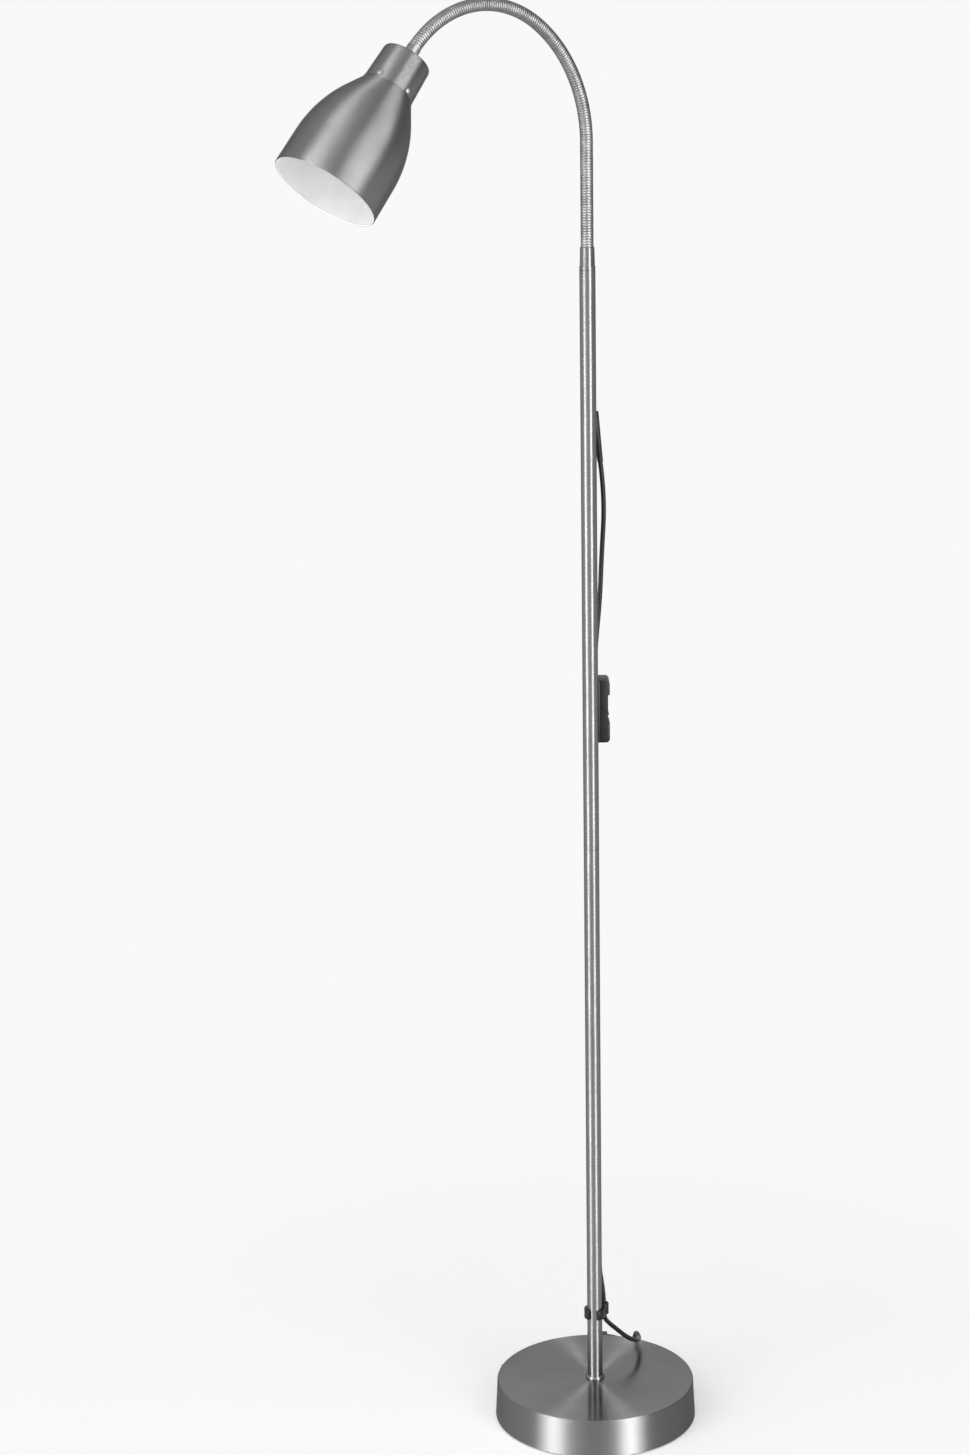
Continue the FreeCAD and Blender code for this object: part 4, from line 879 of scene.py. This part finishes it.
def make_collar():
    """Deep cup with a rounded top, which the hose enters and the shade's neck sits in."""
    neck_top = COLLAR_LENGTH - SHADE_NECK
    lean = (COLLAR_FOOT_R - COLLAR_TOP_R) / COLLAR_LENGTH
    inside_r = COLLAR_FOOT_R - COLLAR_WALL
    stations = [(NECK_R, 0)]
    stations += rounded(COLLAR_TOP_R - COLLAR_EDGE, COLLAR_EDGE, COLLAR_EDGE, -90, 0, 8)
    stations[-1] = (COLLAR_TOP_R + lean * COLLAR_EDGE, COLLAR_EDGE)
    stations += [(COLLAR_FOOT_R, COLLAR_LENGTH - SOFT_EDGE), (COLLAR_FOOT_R - SOFT_EDGE, COLLAR_LENGTH)]
    stations += [(inside_r, COLLAR_LENGTH), (inside_r, neck_top), (COLLAR_TOP_R - COLLAR_EDGE, COLLAR_WALL)]
    stations += [(NECK_R, COLLAR_WALL), (NECK_R, 0)]
    collar = on_head(turned("collar_cup", stations))
    dress(collar, "head", collar_steel, "satin_steel", "head_collar")


def make_shade():
    """Spun bell: steel outside, white enamel inside, with a rolled rim."""
    neck_r = COLLAR_FOOT_R - COLLAR_WALL
    neck_top = COLLAR_LENGTH - SHADE_NECK
    outer = bell_stations(0)
    inner = bell_stations(SHADE_WALL)
    crease = (COLLAR_FOOT_R - SOFT_EDGE, COLLAR_LENGTH)
    roll_r = SHADE_RIM_R - SHADE_WALL / 2 - SHADE_ROLL / 2
    stations = [(neck_r - SHADE_WALL, neck_top), (neck_r, neck_top), (neck_r, COLLAR_LENGTH), crease]
    stations += outer[1:-1]
    stations += [(SHADE_RIM_R, SHADE_RIM_AT - SHADE_ROLL / 2), (SHADE_RIM_R - SOFT_EDGE, SHADE_RIM_AT)]
    stations += rounded(roll_r, SHADE_RIM_AT - SHADE_ROLL / 2, SHADE_ROLL, 60, 230, 6)
    stations += list(reversed(inner[1:-1]))
    stations += [(neck_r - SHADE_WALL, COLLAR_LENGTH), (neck_r - SHADE_WALL, neck_top)]
    shade = turned("shade_bell", stations)
    shade.data.materials.append(shade_steel)
    shade.data.materials.append(enamel)
    for polygon in shade.data.polygons:
        faces_out = Vector((polygon.center.x, polygon.center.y, 0)).dot(polygon.normal) >= 0
        polygon.material_index = 0 if faces_out else 1
    on_head(shade)
    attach(shade, "head")
    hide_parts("shade")


def make_screw(name):
    """Pan-head screw with a cross recess, standing on the origin."""
    deselect_all()
    bpy.ops.mesh.primitive_cylinder_add(vertices=32, radius=SCREW_R, depth=SCREW_HEIGHT,
                                        location=(0, 0, SCREW_HEIGHT / 2))
    screw = bpy.context.object
    screw.name = name
    bpy.ops.object.transform_apply(location=True, rotation=True, scale=True)
    dome = screw.modifiers.new("dome", "BEVEL")
    dome.width = SCREW_DOME
    dome.segments = 4
    dome.limit_method = "ANGLE"
    bpy.ops.object.modifier_apply(modifier=dome.name)
    for turn in (0, math.pi / 2):
        deselect_all()
        bpy.ops.mesh.primitive_cube_add(size=1, location=(0, 0, SCREW_HEIGHT), rotation=(0, 0, turn))
        cutter = bpy.context.object
        cutter.scale = RECESS_SIZE
        bpy.ops.object.transform_apply(location=True, rotation=True, scale=True)
        activate(screw)
        cut = screw.modifiers.new("recess", "BOOLEAN")
        cut.operation = "DIFFERENCE"
        cut.object = cutter
        bpy.ops.object.modifier_apply(modifier=cut.name)
        bpy.data.objects.remove(cutter)
    return finish_mesh(screw, sharp=40.0)


def make_shade_screws():
    """Ring of screws round the collar's foot: one is modelled, the others are its copies."""
    pattern = make_screw("shade_screw_1")
    lean = (COLLAR_FOOT_R - COLLAR_TOP_R) / COLLAR_LENGTH
    seat = COLLAR_TOP_R + lean * (SCREW_AT + SCREW_R)
    side = HEAD_AXIS.cross(HEAD_CROSS)
    screws = [pattern]
    for i in range(1, SCREWS):
        copy = bpy.data.objects.new("shade_screw_%d" % (i + 1), pattern.data.copy())
        bpy.context.scene.collection.objects.link(copy)
        screws.append(copy)
    for i, screw in enumerate(screws):
        turn = SCREW_FIRST + 2 * math.pi * i / SCREWS
        out = HEAD_CROSS * math.cos(turn) + side * math.sin(turn)
        place(screw, HEAD_AT + HEAD_AXIS * SCREW_AT + out * seat, out, HEAD_AXIS)
        dress(screw, "head", plain_steel, "plain_steel", "shade_screws")


make_collar()
make_shade()
make_shade_screws()


# ---------------------------------------------------------------- nodes that keep their own shape
NODE_FINISHES = {
    "base_pad": pad_rubber,
    "base_plate": plain_steel,
    "base_weight": cast_iron,
    "base_plate_screws": plain_steel,
    "base_washer": plain_steel,
    "base_bolt": plain_steel,
    "pole_foot_insert": plain_steel,
    "pole_coupler": plain_steel,
    "pole_lead": cord_sheath,
    "lampholder_nut": plain_steel,
    "lampholder_cap": holder_plastic,
    "lampholder_body": holder_plastic,
    "lampholder_shell": brass,
    "lampholder_contact": brass,
    "switch_screws": plain_steel,
}
for node_name, finish in NODE_FINISHES.items():
    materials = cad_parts[node_name].data.materials
    materials.clear()
    materials.append(finish)
